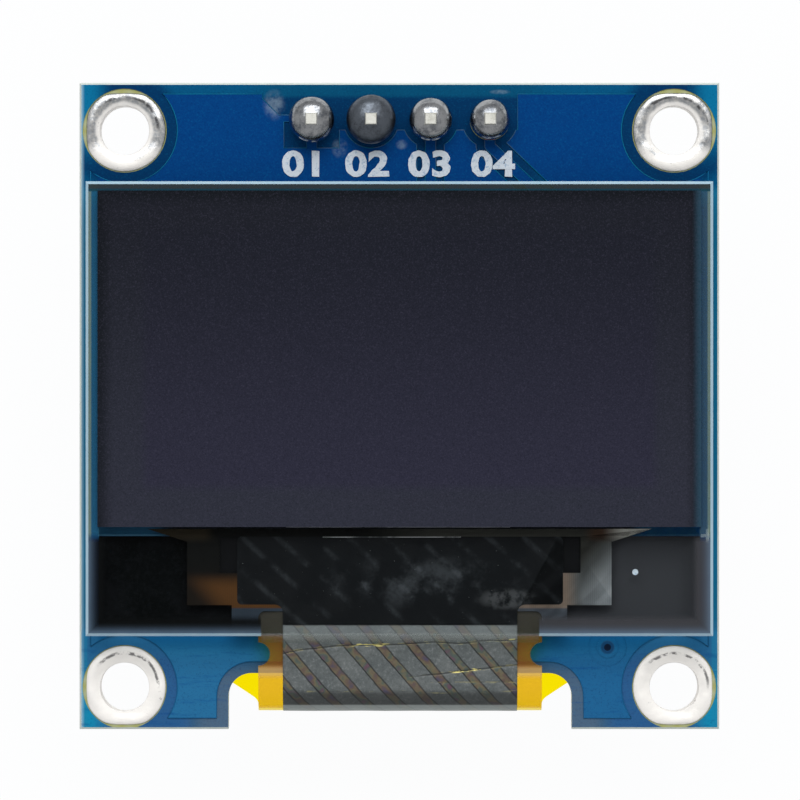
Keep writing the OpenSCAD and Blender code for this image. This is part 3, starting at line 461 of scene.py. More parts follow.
@dataclass(frozen=True)
class ViaInk(Finish):
    """Mask over a via: a dark dimple in a faint ring."""

    x: float = 0.0
    y: float = 0.0
    slot: str = "blue_mask"

    @property
    def key(self) -> str:
        """The material's name."""
        return f"finish_viaink_{self.x:.1f}_{self.y:.1f}"

    def surface(self, tree: ShaderTree) -> Wire:
        """Dark at the middle, the mask's own blue at the rim."""
        fine = tree.grain(8.0, 3.0, 0.6)
        hole = tree.spot(self.x, self.y, 0.2, 0.2).ramp(0.25, 0.6)
        ring = tree.spot(self.x, self.y, 0.3, 0.3).ramp(0.0, 0.3)
        colour = tree.mix(ring * 0.6, tone(28, 88, 132), tone(12, 60, 104))
        colour = tree.mix(hole, colour, tone(6, 26, 52))
        return tree.principled(
            {"Base Color": colour, "Roughness": 0.35 + fine * 0.15, "Specular IOR Level": 0.1}
        )


class Metal(Enum):
    """Kinds of bare metal on the module."""

    COPPER = "copper"
    TIN = "tin"
    TERMINAL = "terminal_tin"
    GILT = "gilt_fingers"
    PIN = "pin_metal"
    SOLDER = "solder"


@dataclass(frozen=True)
class BareMetal(Finish):
    """A metal surface with clouds of tarnish, fine scratches and a lumpy skin."""

    kind: Metal
    clean: Colour
    dull: Colour
    rough: float = 0.2
    rough_more: float = 0.2
    lump: float = 1.2
    lump_height: float = 0.02
    scratch: float = 0.3
    suffix: str = ""
    metallic: float = 1.0

    @property
    def slot(self) -> str:
        """The record's slot."""
        return self.kind.value

    @property
    def key(self) -> str:
        """The material's name."""
        return "finish_" + self.kind.value + self.suffix

    def surface(self, tree: ShaderTree) -> Wire:
        """Tarnish darkens and roughens, lumps and scratches bend the light."""
        cloud = tree.grain(self.lump * 0.8, 4.0, 0.62)
        spots = tree.grain(self.lump * 5.0, 3.0, 0.6)
        dull = (cloud * 0.7 + spots * 0.3).ramp(0.42, 0.66)
        lines = tree.grain(1.0, 3.0, 0.6, tree.stretched(2.0, 34.0, 30.0))
        colour = tree.mix(dull, self.clean, self.dull)
        swell = tree.grain(self.lump, 2.0, 0.5)
        normal = tree.bump(lines, self.scratch, 0.004, tree.bump(swell, 1.0, self.lump_height))
        return tree.principled(
            {
                "Base Color": colour,
                "Metallic": self.metallic,
                "Roughness": self.rough + dull * self.rough_more + lines * 0.05,
                "Normal": normal,
            }
        )


@dataclass(frozen=True)
class TinnedRing(Finish):
    """Tinned pad round a mounting hole: mottled, with a painted pale highlight at the lip and on one side, pale all
    over on the lower pads, and dark streaks partly painted as a dark reflection.
    """

    x: float
    y: float
    pale_share: float
    slot: str = "tin"
    grey: Colour = tone(168, 172, 176)
    light: Colour = tone(206, 205, 202)
    # Painted highlight colour for the lip, one side and the lower pads.
    pale: Colour = tone(246, 243, 238)
    streak: Colour = tone(74, 74, 76)

    @property
    def key(self) -> str:
        """The material's name."""
        return f"finish_tinnedring_{self.x:.1f}_{self.y:.1f}"

    def surface(self, tree: ShaderTree) -> Wire:
        """Grey tin painted pale at the lip and on the side away from the light, standing in for bright reflections;
        less metallic where pale.
        """
        px, py, _ = tree.axes()
        dx, dy = px - self.x, py - self.y
        reach = (dx * dx + dy * dy) ** 0.5
        cloud = tree.grain(1.3, 4.0, 0.65)
        fine = tree.grain(6.5, 4.0, 0.7)
        wander = (cloud - 0.5) * 0.35
        # Painted light: the pale lip, the pale south side and the pale lower pads stand in for reflections of bright
        # surroundings.
        lip = (reach + wander * 0.5).ramp(1.3, 1.16) * 0.8
        side = (dy + wander).ramp(-0.45, -1.1) * (reach + wander * 0.4).ramp(1.3, 1.42)
        share = lip.high(side).high(self.pale_share * (0.75 + cloud * 0.4)).low(1.0)
        tin = tree.mix(fine.ramp(0.35, 0.65), self.grey, self.light)
        colour = tree.mix(share, tin, self.pale)
        # Painted reflection: a dark arc on the north part of the outer slope; the scattered dark dents join it.
        dark_reflection = abs(reach + wander * 0.7 - 1.46).ramp(0.09, 0.02) * (dy + dx * 0.35 + wander * 2.0).ramp(0.4, 0.9)
        dark_reflection = dark_reflection * tree.grain(2.6, 4.0, 0.7).ramp(0.4, 0.55)
        dent = tree.grain(2.2, 3.0, 0.6).ramp(0.66, 0.76) * 0.6
        colour = tree.mix(dark_reflection.high(dent) * 0.85, colour, self.streak)
        swell = tree.grain(2.4, 2.0, 0.5)
        normal = tree.bump(fine, 0.6, 0.012, tree.bump(swell, 0.8, 0.02))
        return tree.principled(
            {
                "Base Color": colour,
                "Metallic": 1.0 - share * 0.9,
                "Roughness": 0.3 + fine * 0.12 + share * 0.15,
                "Normal": normal,
                "Specular IOR Level": 0.2,
            }
        )


@dataclass(frozen=True)
class Moulding(Finish):
    """Black moulded plastic or resin with a fine grain."""

    slot: str = "moulded_black"
    colour: Colour = tone(26, 26, 28)
    speck: Colour = tone(58, 58, 60)
    rough: float = 0.45
    grain_size: float = 9.0
    grain_height: float = 0.012
    shine: float = 0.3

    @property
    def key(self) -> str:
        """The material's name."""
        return "finish_" + self.slot

    def surface(self, tree: ShaderTree) -> Wire:
        """Specks of filler on a grained skin."""
        speck = tree.grain(self.grain_size * 1.5, 3.0, 0.7)
        cloud = tree.grain(0.9, 3.0, 0.6)
        colour = tree.mix(speck.ramp(0.6, 0.78) * 0.5, self.colour, self.speck)
        normal = tree.bump(speck, 0.6, self.grain_height)
        return tree.principled(
            {
                "Base Color": colour,
                "Roughness": self.rough + cloud * 0.18,
                "Normal": normal,
                "Specular IOR Level": self.shine,
            }
        )


@dataclass(frozen=True)
class ClearGlass(Finish):
    """Display glass: clear faces, a ground bevel, margins painted with light and shade, and a painted pale glow of
    scattered light at the ledge's rims.
    """

    slot: str = "clear_glass"
    ground: Colour = tone(156, 192, 212)
    ground_pale: Colour = tone(186, 208, 218)
    # Painted light: the colour of the glow at the ledge's rims.
    bloom: Colour = tone(104, 126, 148)
    bloom_reach: float = 0.62

    def surface(self, tree: ShaderTree) -> Wire:
        """Clear glass that lets lamps through, mixed with its ground rims, painted light and shade in the margins and
        a painted edge glow.
        """
        low, high = box_mm("substrate_glass")
        ledge = box_mm("cap_glass")[0].y
        neck = box_mm("flex_resin")
        x, y, z = tree.axes()
        _, _, up = tree.facing()
        cloud = tree.grain(1.4, 4.0, 0.6)
        front = z.ramp(high.z - 0.02, high.z - 0.005)
        wet = x.ramp(neck[0].x - 0.05, neck[0].x + 0.02) * x.ramp(neck[1].x + 0.05, neck[1].x - 0.02)
        dry = 1.0 - wet * y.ramp(low.y + 1.4, low.y + 1.1)
        facing = Wire(tree, tree.node("LayerWeight", None, {"Blend": 0.5}).outputs["Facing"])
        window = Wire(tree, tree.node("BsdfTransparent", None, {0: (0.97, 0.985, 0.985)}).outputs[0])
        glossy = tree.principled({"Base Color": (0.9, 0.92, 0.92), "Metallic": 1.0, "Roughness": 0.05})
        body = tree.blend(facing * facing * facing * 0.5 + 0.02, window, glossy)
        # Painted light: a pale glow of light scattered in from the glass's edges, over the colour of the tape behind,
        # near the ledge's side and bottom rims.
        side = (high.x - abs(x)).low(y - low.y)
        near = ((self.bloom_reach - side) / self.bloom_reach).high(0.0) ** 2.4
        behind = tree.mix(x.ramp(-2.0, 8.5), BlackTape.left, BlackTape.right)
        bloom = tree.mix(near * (0.75 + cloud * 0.4), behind, self.bloom)
        share = side.ramp(0.95, 0.6) * front * y.ramp(ledge + 0.1, ledge - 0.3) * dry * 0.94
        body = tree.blend(share, body, self.matt(tree, bloom))
        # Painted light and shade: the side and top margins take the colours of the mask and seal seen through the
        # glass, paler at the sides than their shadow gives and darker along the top band.
        beside, above = high.x - abs(x), high.y - y
        margin = tree.mix(x.ramp(-4.0, 4.0), tone(36, 92, 120), tone(58, 84, 98))
        margin = tree.mix(beside.ramp(0.28, 0.2), margin, tone(118, 134, 116))
        top = tree.mix(above.ramp(0.36, 0.28), tone(24, 62, 70), tone(50, 54, 44))
        band = above.ramp(0.46, 0.4)
        share = beside.ramp(0.6, 0.55) * (0.5 + cloud * 0.25)
        share = share.high(band * 0.85) * front * y.ramp(ledge - 0.2, ledge + 0.2)
        body = tree.blend(share, body, self.matt(tree, tree.mix(band, margin, top)))
        frost = self.matt(tree, tree.mix(cloud, self.ground, self.ground_pale))
        slant = abs(up).ramp(0.96, 0.88) * z.ramp(high.z - 0.16, high.z - 0.11)
        slant = slant * (1.0 - wet * y.ramp(low.y + 0.3, low.y + 0.25))
        return tree.blend(slant * 0.85, body, frost)

    @staticmethod
    def matt(tree: ShaderTree, colour: Wire) -> Wire:
        """A dull surface of one colour."""
        return tree.principled({"Base Color": colour, "Roughness": 0.55, "Specular IOR Level": 0.06})


@dataclass(frozen=True)
class ClearResin(Finish):
    """Clear cured bead along the glass, with a soft gloss."""

    slot: str = "clear_resin"

    def surface(self, tree: ShaderTree) -> Wire:
        """Mostly window, with a slight milkiness of its own."""
        cloud = tree.grain(1.6, 3.0, 0.6)
        normal = tree.bump(cloud, 0.6, 0.03)
        body = tree.principled(
            {"Base Color": tone(150, 156, 156), "Roughness": 0.2 + cloud * 0.15, "Normal": normal, "IOR": 1.5}
        )
        window = Wire(tree, tree.node("BsdfTransparent", None, {0: (0.97, 0.975, 0.965)}).outputs[0])
        return tree.blend(0.08 + cloud * 0.06, window, body)


@dataclass(frozen=True)
class Polariser(Finish):
    """Dark polarising film, a little more violet over the pixel area, lightened towards the bottom by a painted
    reflection.
    """

    slot: str = "dark_polariser"
    top: Colour = tone(29, 31, 39)
    bottom: Colour = tone(45, 47, 58)

    def surface(self, tree: ShaderTree) -> Wire:
        """A painted reflection lightening from top to bottom, with a fine even grain."""
        low, high = box_mm("polariser")
        lit_low, lit_high = box_mm("oled_layers")
        x, y, _ = tree.axes()
        # Painted reflection: the film lightens from top to bottom, as the dark room above reflects in it.
        fall = y.ramp(high.y, low.y)
        inside = abs(x).ramp(lit_high.x + 0.3, lit_high.x - 0.3)
        inside = inside * y.ramp(lit_low.y - 0.3, lit_low.y + 0.3) * y.ramp(lit_high.y + 0.5, lit_high.y - 0.3)
        base = tree.mix(fall, self.top, self.bottom)
        pixel = tree.mix(fall, tone(28, 30, 39), tone(44, 43, 60))
        rim = (high.x - abs(x)).low(high.y - y).ramp(0.02, 0.75)
        grain = tree.grain(16.0, 2.0, 0.6)
        colour = tree.mix(inside * 0.7, base, pixel)
        colour = tree.mix((1.0 - rim) * 0.7, colour, tone(16, 20, 24))
        side = (high.x - x).ramp(0.42, 0.0)
        colour = tree.mix(side * 0.85, colour, tone(44, 72, 90))
        colour = tree.mix(grain.ramp(0.5, 0.8) * 0.3, colour, tone(72, 70, 88))
        colour = tree.mix(grain.ramp(0.5, 0.2) * 0.4, colour, tone(14, 16, 20))
        normal = tree.bump(grain, 0.3, 0.003)
        return tree.principled(
            {
                "Base Color": colour,
                "Roughness": 0.2 + grain * 0.08,
                "Normal": normal,
                "IOR": 1.45,
                "Specular IOR Level": 0.12,
            }
        )


@dataclass(frozen=True)
class OledFilm(Finish):
    """The light-emitting layers: a dark violet mirror with a fine pixel grid."""

    slot: str = "oled_film"

    def surface(self, tree: ShaderTree) -> Wire:
        """Columns and rows of pixels in a dark film."""
        x, y, _ = tree.axes()
        grid = (x / 0.17).wave().high((y / 0.17).wave())
        colour = tree.mix(grid.ramp(0.7, 0.95), tone(34, 30, 48), tone(12, 12, 16))
        return tree.principled({"Base Color": colour, "Metallic": 0.6, "Roughness": 0.3 + grid * 0.1})


@dataclass(frozen=True)
class LeadMetal(Finish):
    """Fine metal leads that fan in across the ledge: dark brown to the left, silver to the right."""

    slot: str = "lead_metal"

    def surface(self, tree: ShaderTree) -> Wire:
        """Patches with soft triangular shading, crossed by very fine lines."""
        low, high = box_mm("ledge_leads")
        x, y, _ = tree.axes()
        bar = box_mm("potting_bar")
        cover = box_mm("flex_cover")
        arm = cover[0].y + 0.86
        right_side = x.ramp(-2.0, 2.0)
        down = y.ramp(bar[0].y + 0.6, arm - 0.2)
        left = tree.mix(down, tone(14, 15, 14), tone(28, 23, 18))
        corner = ((x - low.x) + (y - arm) * 0.9).ramp(2.2, 3.8) * y.ramp(bar[0].y + 0.1, bar[0].y - 0.7)
        left = tree.mix(corner, left, tone(84, 55, 28))
        fan = (x - bar[1].x - 0.1) * 0.55 - (y - bar[0].y) * 0.5 - 0.35
        right = tree.mix(fan.ramp(-0.9, 0.9), tone(56, 56, 52), tone(156, 161, 165))
        lift = ((x - bar[1].x) - (bar[0].y - y) * 0.7).ramp(0.5, 0.6)
        right = tree.mix(lift * 0.35 * down, right, tone(206, 208, 210))
        strip = x.ramp(bar[1].x + 0.15, bar[1].x - 0.15) * y.ramp(bar[0].y + 0.1, bar[0].y)
        right = tree.mix(strip, right, tree.mix(x.ramp(7.0, 7.7), tone(150, 132, 118), tone(112, 114, 114)))
        patch = tree.mix(right_side, left, right)
        foot = y.ramp(arm - 0.1, arm - 0.2)
        patch = tree.mix(foot, patch, tree.mix(right_side, tone(50, 60, 71), tone(88, 94, 103)))
        flare = y.ramp(bar[1].y - 0.35, bar[1].y + 0.1) * abs(x).ramp(7.8, 8.4)
        patch = tree.mix(flare * right_side, patch, tree.mix(x.ramp(8.6, 9.8), tone(74, 56, 44), tone(206, 204, 196)))
        patch = tree.mix(flare * (1.0 - right_side) * 0.6, patch, tone(58, 50, 36))
        lines = (x / 0.09).wave()
        colour = tree.mix(lines.ramp(0.6, 0.95) * 0.18, patch, tone(20, 20, 22))
        cloud = tree.grain(2.0, 3.0, 0.6)
        colour = tree.mix(cloud * 0.12, colour, tone(24, 24, 24))
        return tree.principled(
            {"Base Color": colour, "Metallic": 0.1, "Roughness": 0.4 + cloud * 0.2, "Specular IOR Level": 0.06}
        )


@dataclass(frozen=True)
class BlackTape(Finish):
    """Black tape behind the ledge with a fine web, paler towards its right end by a painted haze of light from the
    glass.
    """

    slot: str = "black_tape"
    left: Colour = tone(3, 5, 6)
    right: Colour = tone(58, 59, 63)

    def surface(self, tree: ShaderTree) -> Wire:
        """A slow painted lightening along X over a fine web."""
        x, _, _ = tree.axes()
        cloud = tree.grain(0.5, 3.0, 0.5)
        web = tree.grain(6.0, 3.0, 0.6)
        # Painted light: the tape lightens towards its right end, standing in for haze in the glass over it.
        colour = tree.mix(x.ramp(-2.0, 8.5), self.left, self.right)
        colour = tree.mix(cloud.ramp(0.4, 0.8) * 0.1 + web.ramp(0.4, 0.8) * 0.06, colour, tone(70, 72, 78))
        normal = tree.bump(web, 0.5, 0.01)
        return tree.principled(
            {"Base Color": colour, "Roughness": 0.5 + web * 0.2, "Normal": normal, "Specular IOR Level": 0.03}
        )


@dataclass(frozen=True)
class CoverFilm(Finish):
    """Satin black cover film with faint pale diagonal bands."""

    slot: str = "black_tape"
    colour: Colour = tone(20, 22, 24)

    def surface(self, tree: ShaderTree) -> Wire:
        """Pale diagonal bands, cloudy pale patches and dust on black."""
        x, y, _ = tree.axes()
        diagonal_band = ((x + y * 1.1) / 1.5).wave().ramp(0.62, 0.95)
        cloudy_patch = tree.grain(0.8, 4.0, 0.65).ramp(0.42, 0.7)
        patch = tree.spot(1.2, -7.4, 5.2, 1.3)
        dust = tree.grain(11.0, 2.0, 0.5).ramp(0.735, 0.78)
        colour = tree.mix(diagonal_band * cloudy_patch * 0.35 + cloudy_patch * patch * 0.55, self.colour, tone(68, 72, 76))
        lower = tree.spot(4.6, -8.1, 1.5, 0.55) * tree.grain(2.4, 3.0, 0.6).ramp(0.35, 0.6)
        colour = tree.mix(lower * 0.6, colour, tone(84, 86, 88))
        colour = tree.mix(dust * 0.5, colour, tone(160, 160, 160))
        normal = tree.bump(cloudy_patch + diagonal_band * 0.4, 0.5, 0.015)
        return tree.principled(
            {
                "Base Color": colour,
                "Roughness": 0.32 + cloudy_patch * 0.22,
                "Normal": normal,
                "Specular IOR Level": 0.07,
            }
        )


@dataclass(frozen=True)
class AmberFilm(Finish):
    """Amber polyimide film, clear enough to show what lies behind it."""

    slot: str = "amber_film"
    passed: Colour = (1.0, 0.9, 0.03)
    body: Colour = tone(212, 158, 40)
    folded: Colour = tone(184, 112, 88)

    def surface(self, tree: ShaderTree) -> Wire:
        """Tinted window, a share of its own amber and its gloss, a painted haze of light where it lies behind the
        glass, and a painted highlight where it turns over the fold.
        """
        low = box_mm("substrate_glass")[0].y
        board = box_mm("board")[0].y
        x, y, z = tree.axes()
        _, _, up = tree.facing()
        cloud = tree.grain(1.2, 3.0, 0.6)
        # Painted highlight: where the film's face tilts as it turns over the fold's upper half, it is mixed towards a
        # pale surface.
        bend = abs(up).ramp(0.66, 0.2) * z.ramp(0.9, 1.2)
        front = z.ramp(1.2, 1.5)
        # Painted light: behind the glass the film is greyed, standing in for haze in the glass.
        behind = y.ramp(low - 0.05, low + 0.05)
        pale = y.ramp(board + 2.85, board + 2.6) * y.ramp(board + 2.15, board + 2.45) * front
        body = tree.mix(cloud * 0.3, tree.mix(front, self.body, self.folded), tone(224, 170, 70))
        body = tree.mix(pale * 0.7, body, tone(222, 196, 150))
        body = tree.mix(behind, body, tone(72, 70, 66))
        own = tree.principled(
            {
                "Base Color": body,
                "Roughness": 0.24 + cloud * 0.1,
                "IOR": 1.6,
                "Specular IOR Level": 0.12,
                "Normal": tree.bump(cloud, 0.4, 0.02),
            }
        )
        window = Wire(tree, tree.node("BsdfTransparent", None, {0: self.passed}).outputs[0])
        glow = tree.principled({"Base Color": tone(255, 224, 196), "Roughness": 0.4, "Specular IOR Level": 0.1})
        film = tree.blend(0.03 + front * 0.15 + behind * 0.45 + pale * 0.25, window, own)
        return tree.blend(bend * 0.6, film, glow)


@dataclass(frozen=True)
class HatchPrint(Finish):
    """Conductors printed on the flex: grey diagonal bands with dark double lines, painted shade and light along the
    fold and creases, and painted warm glints.
    """

    slot: str = "printed_copper"
    band: Colour = tone(100, 105, 105)
    dark: Colour = tone(34, 35, 36)
    period: float = 1.37
    slope: float = 0.86
    phase: float = 0.66

    def surface(self, tree: ShaderTree) -> Wire:
        """Bands follow the strip's own length, which the mesh keeps in an attribute."""
        strip = tree.node("Attribute", {"attribute_name": "strip"})
        across, along, crease = tree.axes(Wire(tree, strip.outputs["Vector"]))
        wobble = tree.grain(1.1, 3.0, 0.6) - 0.5
        jitter = tree.grain(5.0, 2.0, 0.6) - 0.5
        wave = ((across - along * self.slope) / self.period + wobble * 0.1 + jitter * 0.03 + self.phase).wave()
        narrow = wave.ramp(0.66, 0.72)
        edge = abs(wave - 0.68).ramp(0.09, 0.03)
        fine = tree.grain(8.0, 3.0, 0.7)
        cloud = tree.grain(0.9, 3.0, 0.6)
        colour = tree.mix(cloud.ramp(0.3, 0.7), self.band, tone(84, 90, 91))
        colour = tree.mix(fine.ramp(0.5, 0.75) * 0.45, colour, tone(140, 144, 144))
        colour = tree.mix(fine.ramp(0.5, 0.25) * 0.45, colour, tone(58, 62, 62))
        stops = [
            (0.3, tone(66, 58, 84)),
            (0.42, tone(92, 72, 60)),
            (0.52, tone(104, 94, 68)),
            (0.6, tone(68, 84, 76)),
            (0.7, tone(92, 62, 78)),
        ]
        iris = tree.colours(tree.grain(1.8, 2.0, 0.5), stops)
        colour = tree.mix(narrow * 0.8, colour, iris)
        colour = tree.mix(edge * (0.5 + cloud * 0.6), colour, self.dark)
        # Painted light: the start of the strip, under the glass and resin, is lightened as if by haze.
        colour = tree.mix(along.ramp(0.78, 0.5) * 0.35, colour, tone(150, 153, 155))
        # Painted shade and highlight: a darker band on the fold, then a paler band round its outer turn and on.
        shade = along.ramp(2.75, 3.0) * along.ramp(3.62, 3.5)
        colour = tree.mix(shade * 0.62, colour, tone(40, 42, 42))
        last = along.ramp(3.5, 3.6) * along.ramp(6.4, 5.6)
        colour = tree.mix(last * 0.7, colour, tone(150, 158, 156))
        # Painted shade darkens the creases, and painted glints run along them.
        colour = tree.mix(crease.ramp(0.3, 0.9) * 0.75, colour, tone(22, 23, 23))
        spark = tree.grain(6.0, 2.0, 0.6, tree.stretched(0.4, 2.0, 1.0)).ramp(0.5, 0.62)
        bright = tree.spot(-1.3, -9.98, 1.1, 0.3).high(tree.spot(4.7, -9.8, 0.6, 0.3)).high(tree.spot(2.9, -11.2, 0.9, 0.3))
        glint = crease.ramp(0.12, 0.35) * crease.ramp(0.95, 0.6) * spark * (0.15 + bright)
        colour = tree.mix(glint.low(1.0), colour, tone(226, 214, 130))
        normal = tree.bump(narrow + fine * 0.3, 0.6, 0.012)
        return tree.principled(
            {
                "Base Color": colour,
                "Metallic": 0.1,
                "Roughness": 0.36 + fine * 0.16,
                "Normal": normal,
                "Specular IOR Level": 0.25,
            }
        )


@dataclass(frozen=True)
class Foam(Finish):
    """Thin white foam tape with open cells at its cut edges."""

    slot: str = "foam"

    def surface(self, tree: ShaderTree) -> Wire:
        """Cells of two sizes."""
        cells = tree.cells(6.0)
        colour = tree.mix(cells.ramp(0.1, 0.5), tone(196, 196, 190), tone(238, 238, 233))
        return tree.principled(
            {"Base Color": colour, "Roughness": 0.8 + cells * 0.1, "Normal": tree.bump(cells, 0.8, 0.03)}
        )


@dataclass(frozen=True)
class Ceramic(Finish):
    """Fired ceramic of a chip part, speckled."""

    slot: str = "capacitor_ceramic"
    colour: Colour = tone(168, 132, 92)
    dark: Colour = tone(132, 100, 70)

    @property
    def key(self) -> str:
        """The material's name."""
        return "finish_" + self.slot

    def surface(self, tree: ShaderTree) -> Wire:
        """Fine specks under a slight gloss."""
        speck = tree.grain(12.0, 3.0, 0.7)
        cloud = tree.grain(2.0, 2.0, 0.5)
        colour = tree.mix(speck.ramp(0.4, 0.65) * 0.6 + cloud * 0.2, self.colour, self.dark)
        return tree.principled(
            {"Base Color": colour, "Roughness": 0.35 + speck * 0.15, "Normal": tree.bump(speck, 0.4, 0.006)}
        )


@dataclass(frozen=True)
class PlainSheet(Finish):
    """A sealed inner layer: seal resin or desiccant sheet."""

    slot: str = "seal_resin"
    colour: Colour = tone(206, 206, 186)
    dark: Colour = tone(170, 170, 150)

    @property
    def key(self) -> str:
        """The material's name."""
        return "finish_" + self.slot

    def surface(self, tree: ShaderTree) -> Wire:
        """Clouded, slightly rough."""
        cloud = tree.grain(1.8, 4.0, 0.65)
        return tree.principled(
            {
                "Base Color": tree.mix(cloud.ramp(0.3, 0.7), self.colour, self.dark),
                "Roughness": 0.5 + cloud * 0.2,
                "Normal": tree.bump(cloud, 0.3, 0.01),
            }
        )


@dataclass(frozen=True)
class SealResin(Finish):
    """Seal between the two glasses: olive round the sides, dark along the ledge, blue at its ends."""

    slot: str = "seal_resin"

    def surface(self, tree: ShaderTree) -> Wire:
        """The colour changes along the ledge."""
        ledge = box_mm("cap_glass")[0].y
        x, y, _ = tree.axes()
        cloud = tree.grain(1.8, 4.0, 0.65)
        end = abs(x).ramp(9.6, 10.8) * (0.7 + cloud * 0.5)
        along = tree.mix(end.low(1.0), tone(8, 14, 20), tone(26, 74, 104))
        line = y.ramp(ledge + 0.1, ledge + 0.03) * end
        along = tree.mix(line.low(1.0) * 0.7, along, tone(70, 116, 144))
        colour = tree.mix(y.ramp(ledge + 1.1, ledge + 0.8), tree.mix(cloud, tone(150, 152, 130), tone(112, 118, 100)), along)
        return tree.principled(
            {"Base Color": colour, "Roughness": 0.5 + cloud * 0.2, "Normal": tree.bump(cloud, 0.3, 0.01), "Specular IOR Level": 0.1}
        )


@dataclass(frozen=True)
class Silkscreen(Finish):
    """White printed ink, thin and rubbed away in places."""

    slot: str = "blue_mask"
    ink: Colour = tone(204, 214, 224)
    thin: Colour = tone(134, 164, 194)

    def surface(self, tree: ShaderTree) -> Wire:
        """Ink that thins where the mask's grain stands through."""
        fine = tree.grain(8.0, 4.0, 0.7)
        colour = tree.mix(fine.ramp(0.5, 0.72), self.ink, self.thin)
        return tree.principled(
            {"Base Color": colour, "Roughness": 0.6 + fine * 0.15, "Normal": tree.bump(fine, 0.5, 0.01)}
        )


@dataclass(frozen=True)
class PaleEdge(Finish):
    """A thin lit edge of a film."""

    slot: str = "dark_polariser"
    colour: Colour = tone(118, 122, 132)
    suffix: str = ""

    def surface(self, tree: ShaderTree) -> Wire:
        """Patchy pale grey gloss."""
        patch = tree.grain(0.9, 4.0, 0.7, tree.stretched(1.0, 0.1, 0.1))
        colour = tree.mix(patch.ramp(0.38, 0.62), tone(52, 56, 60), self.colour)
        return tree.principled({"Base Color": colour, "Roughness": 0.2 + patch * 0.2, "IOR": 1.5})


TIN = BareMetal(Metal.TIN, tone(236, 235, 230), tone(184, 184, 178), 0.12, 0.16, 1.6, 0.03, 0.5)
COPPER = BareMetal(Metal.COPPER, tone(200, 132, 84), tone(150, 92, 60), 0.3, 0.2)
TERMINAL = BareMetal(Metal.TERMINAL, tone(206, 206, 202), tone(160, 160, 156), 0.25, 0.2, 3.0, 0.01)
GILT = BareMetal(Metal.GILT, tone(226, 196, 132), tone(176, 146, 92), 0.25, 0.2, 3.0, 0.01)
PIN = BareMetal(Metal.PIN, tone(222, 222, 214), tone(190, 190, 180), 0.42, 0.16, 3.0, 0.006, 0.6, metallic=0.6)
SOLDER = BareMetal(Metal.SOLDER, tone(162, 164, 166), tone(98, 102, 108), 0.14, 0.12, 2.2, 0.012, 0.15)
DULL_SOLDER = BareMetal(Metal.SOLDER, tone(96, 102, 110), tone(70, 74, 80), 0.3, 0.14, 2.6, 0.02, 0.2, "_dull")


# ---- Mesh tools ----------------------------------------------------------------------


class Sheet:
    """Collects points and faces in millimetres and turns them into one piece."""

    def __init__(self) -> None:
        """Starts empty."""
        self.points: list[Point] = []
        self.faces: list[tuple[int, ...]] = []

    def grid(self, rows: Sequence[Sequence[Point]], closed: bool = False, ring: bool = False) -> None:
        """Joins rows of points with quads.

        Args:
            rows: Rows with the same number of points.
            closed: Whether each row closes on itself.
            ring: Whether the last row joins the first.
        """
        base = len(self.points)
        wide = len(rows[0])
        for row in rows:
            self.points.extend(row)
        for j in range(len(rows) if ring else len(rows) - 1):
            k = (j + 1) % len(rows)
            for i in range(wide if closed else wide - 1):
                n = (i + 1) % wide
                self.faces.append((base + j * wide + i, base + j * wide + n, base + k * wide + n, base + k * wide + i))

    def cap(self, start: int, count: int, flip: bool = False) -> None:
        """Closes a ring of points with one face."""
        loop = list(range(start, start + count))
        self.faces.append(tuple(reversed(loop)) if flip else tuple(loop))

    def piece(self, name: str, finish: Finish, smooth: bool = True) -> bpy.types.Object:
        """Makes the object, dresses it and lets it ride on the body.

        Args:
            name: The piece's name.
            finish: Its finish.
            smooth: Whether its faces are shaded smooth.

        Returns:
            The new object.
        """
        mesh = bpy.data.meshes.new(name)
        mesh.from_pydata([tuple(c * MM for c in p) for p in self.points], [], self.faces)
        mesh.validate()
        work = bmesh.new()
        work.from_mesh(mesh)
        bmesh.ops.recalc_face_normals(work, faces=work.faces)
        work.to_mesh(mesh)
        work.free()
        mesh.polygons.foreach_set("use_smooth", [smooth] * len(mesh.polygons))
        made = bpy.data.objects.new(name, mesh)
        bpy.context.scene.collection.objects.link(made)
        made.data.materials.append(finish.material())
        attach(made, BODY)
        return made


def bead(name: str, path: Sequence[Point], radius: float, finish: Finish, closed: bool = False, sides: int = 6) -> bpy.types.Object:
    """A thin round bead along a flat path.

    Args:
        name: The piece's name.
        path: Points in millimetres.
        radius: The bead's radius.
        finish: Its finish.
        closed: Whether the path closes on itself.
        sides: Sides of the bead's section.

    Returns:
        The new object.
    """
    sheet = Sheet()
    add_bead(sheet, path, radius, closed, sides)
    return sheet.piece(name, finish)


def add_bead(sheet: Sheet, path: Sequence[Point], radius: float, closed: bool, sides: int) -> None:
    """Adds a bead along a path to a sheet."""
    rows = []
    count = len(path)
    for i, point in enumerate(path):
        before = path[(i - 1) % count] if closed or i else point
        after = path[(i + 1) % count] if closed or i < count - 1 else point
        along = (Vector(after) - Vector(before)).normalized()
        across = Vector((-along.y, along.x, 0.0))
        rows.append(
            [
                tuple(Vector(point) + across * radius * math.cos(a) + Vector((0, 0, radius * math.sin(a))))
                for a in (2 * math.pi * k / sides for k in range(sides))
            ]
        )
    base = len(sheet.points)
    sheet.grid(rows, closed=True, ring=closed)
    if not closed:
        sheet.cap(base, sides, True)
        sheet.cap(base + (count - 1) * sides, sides)


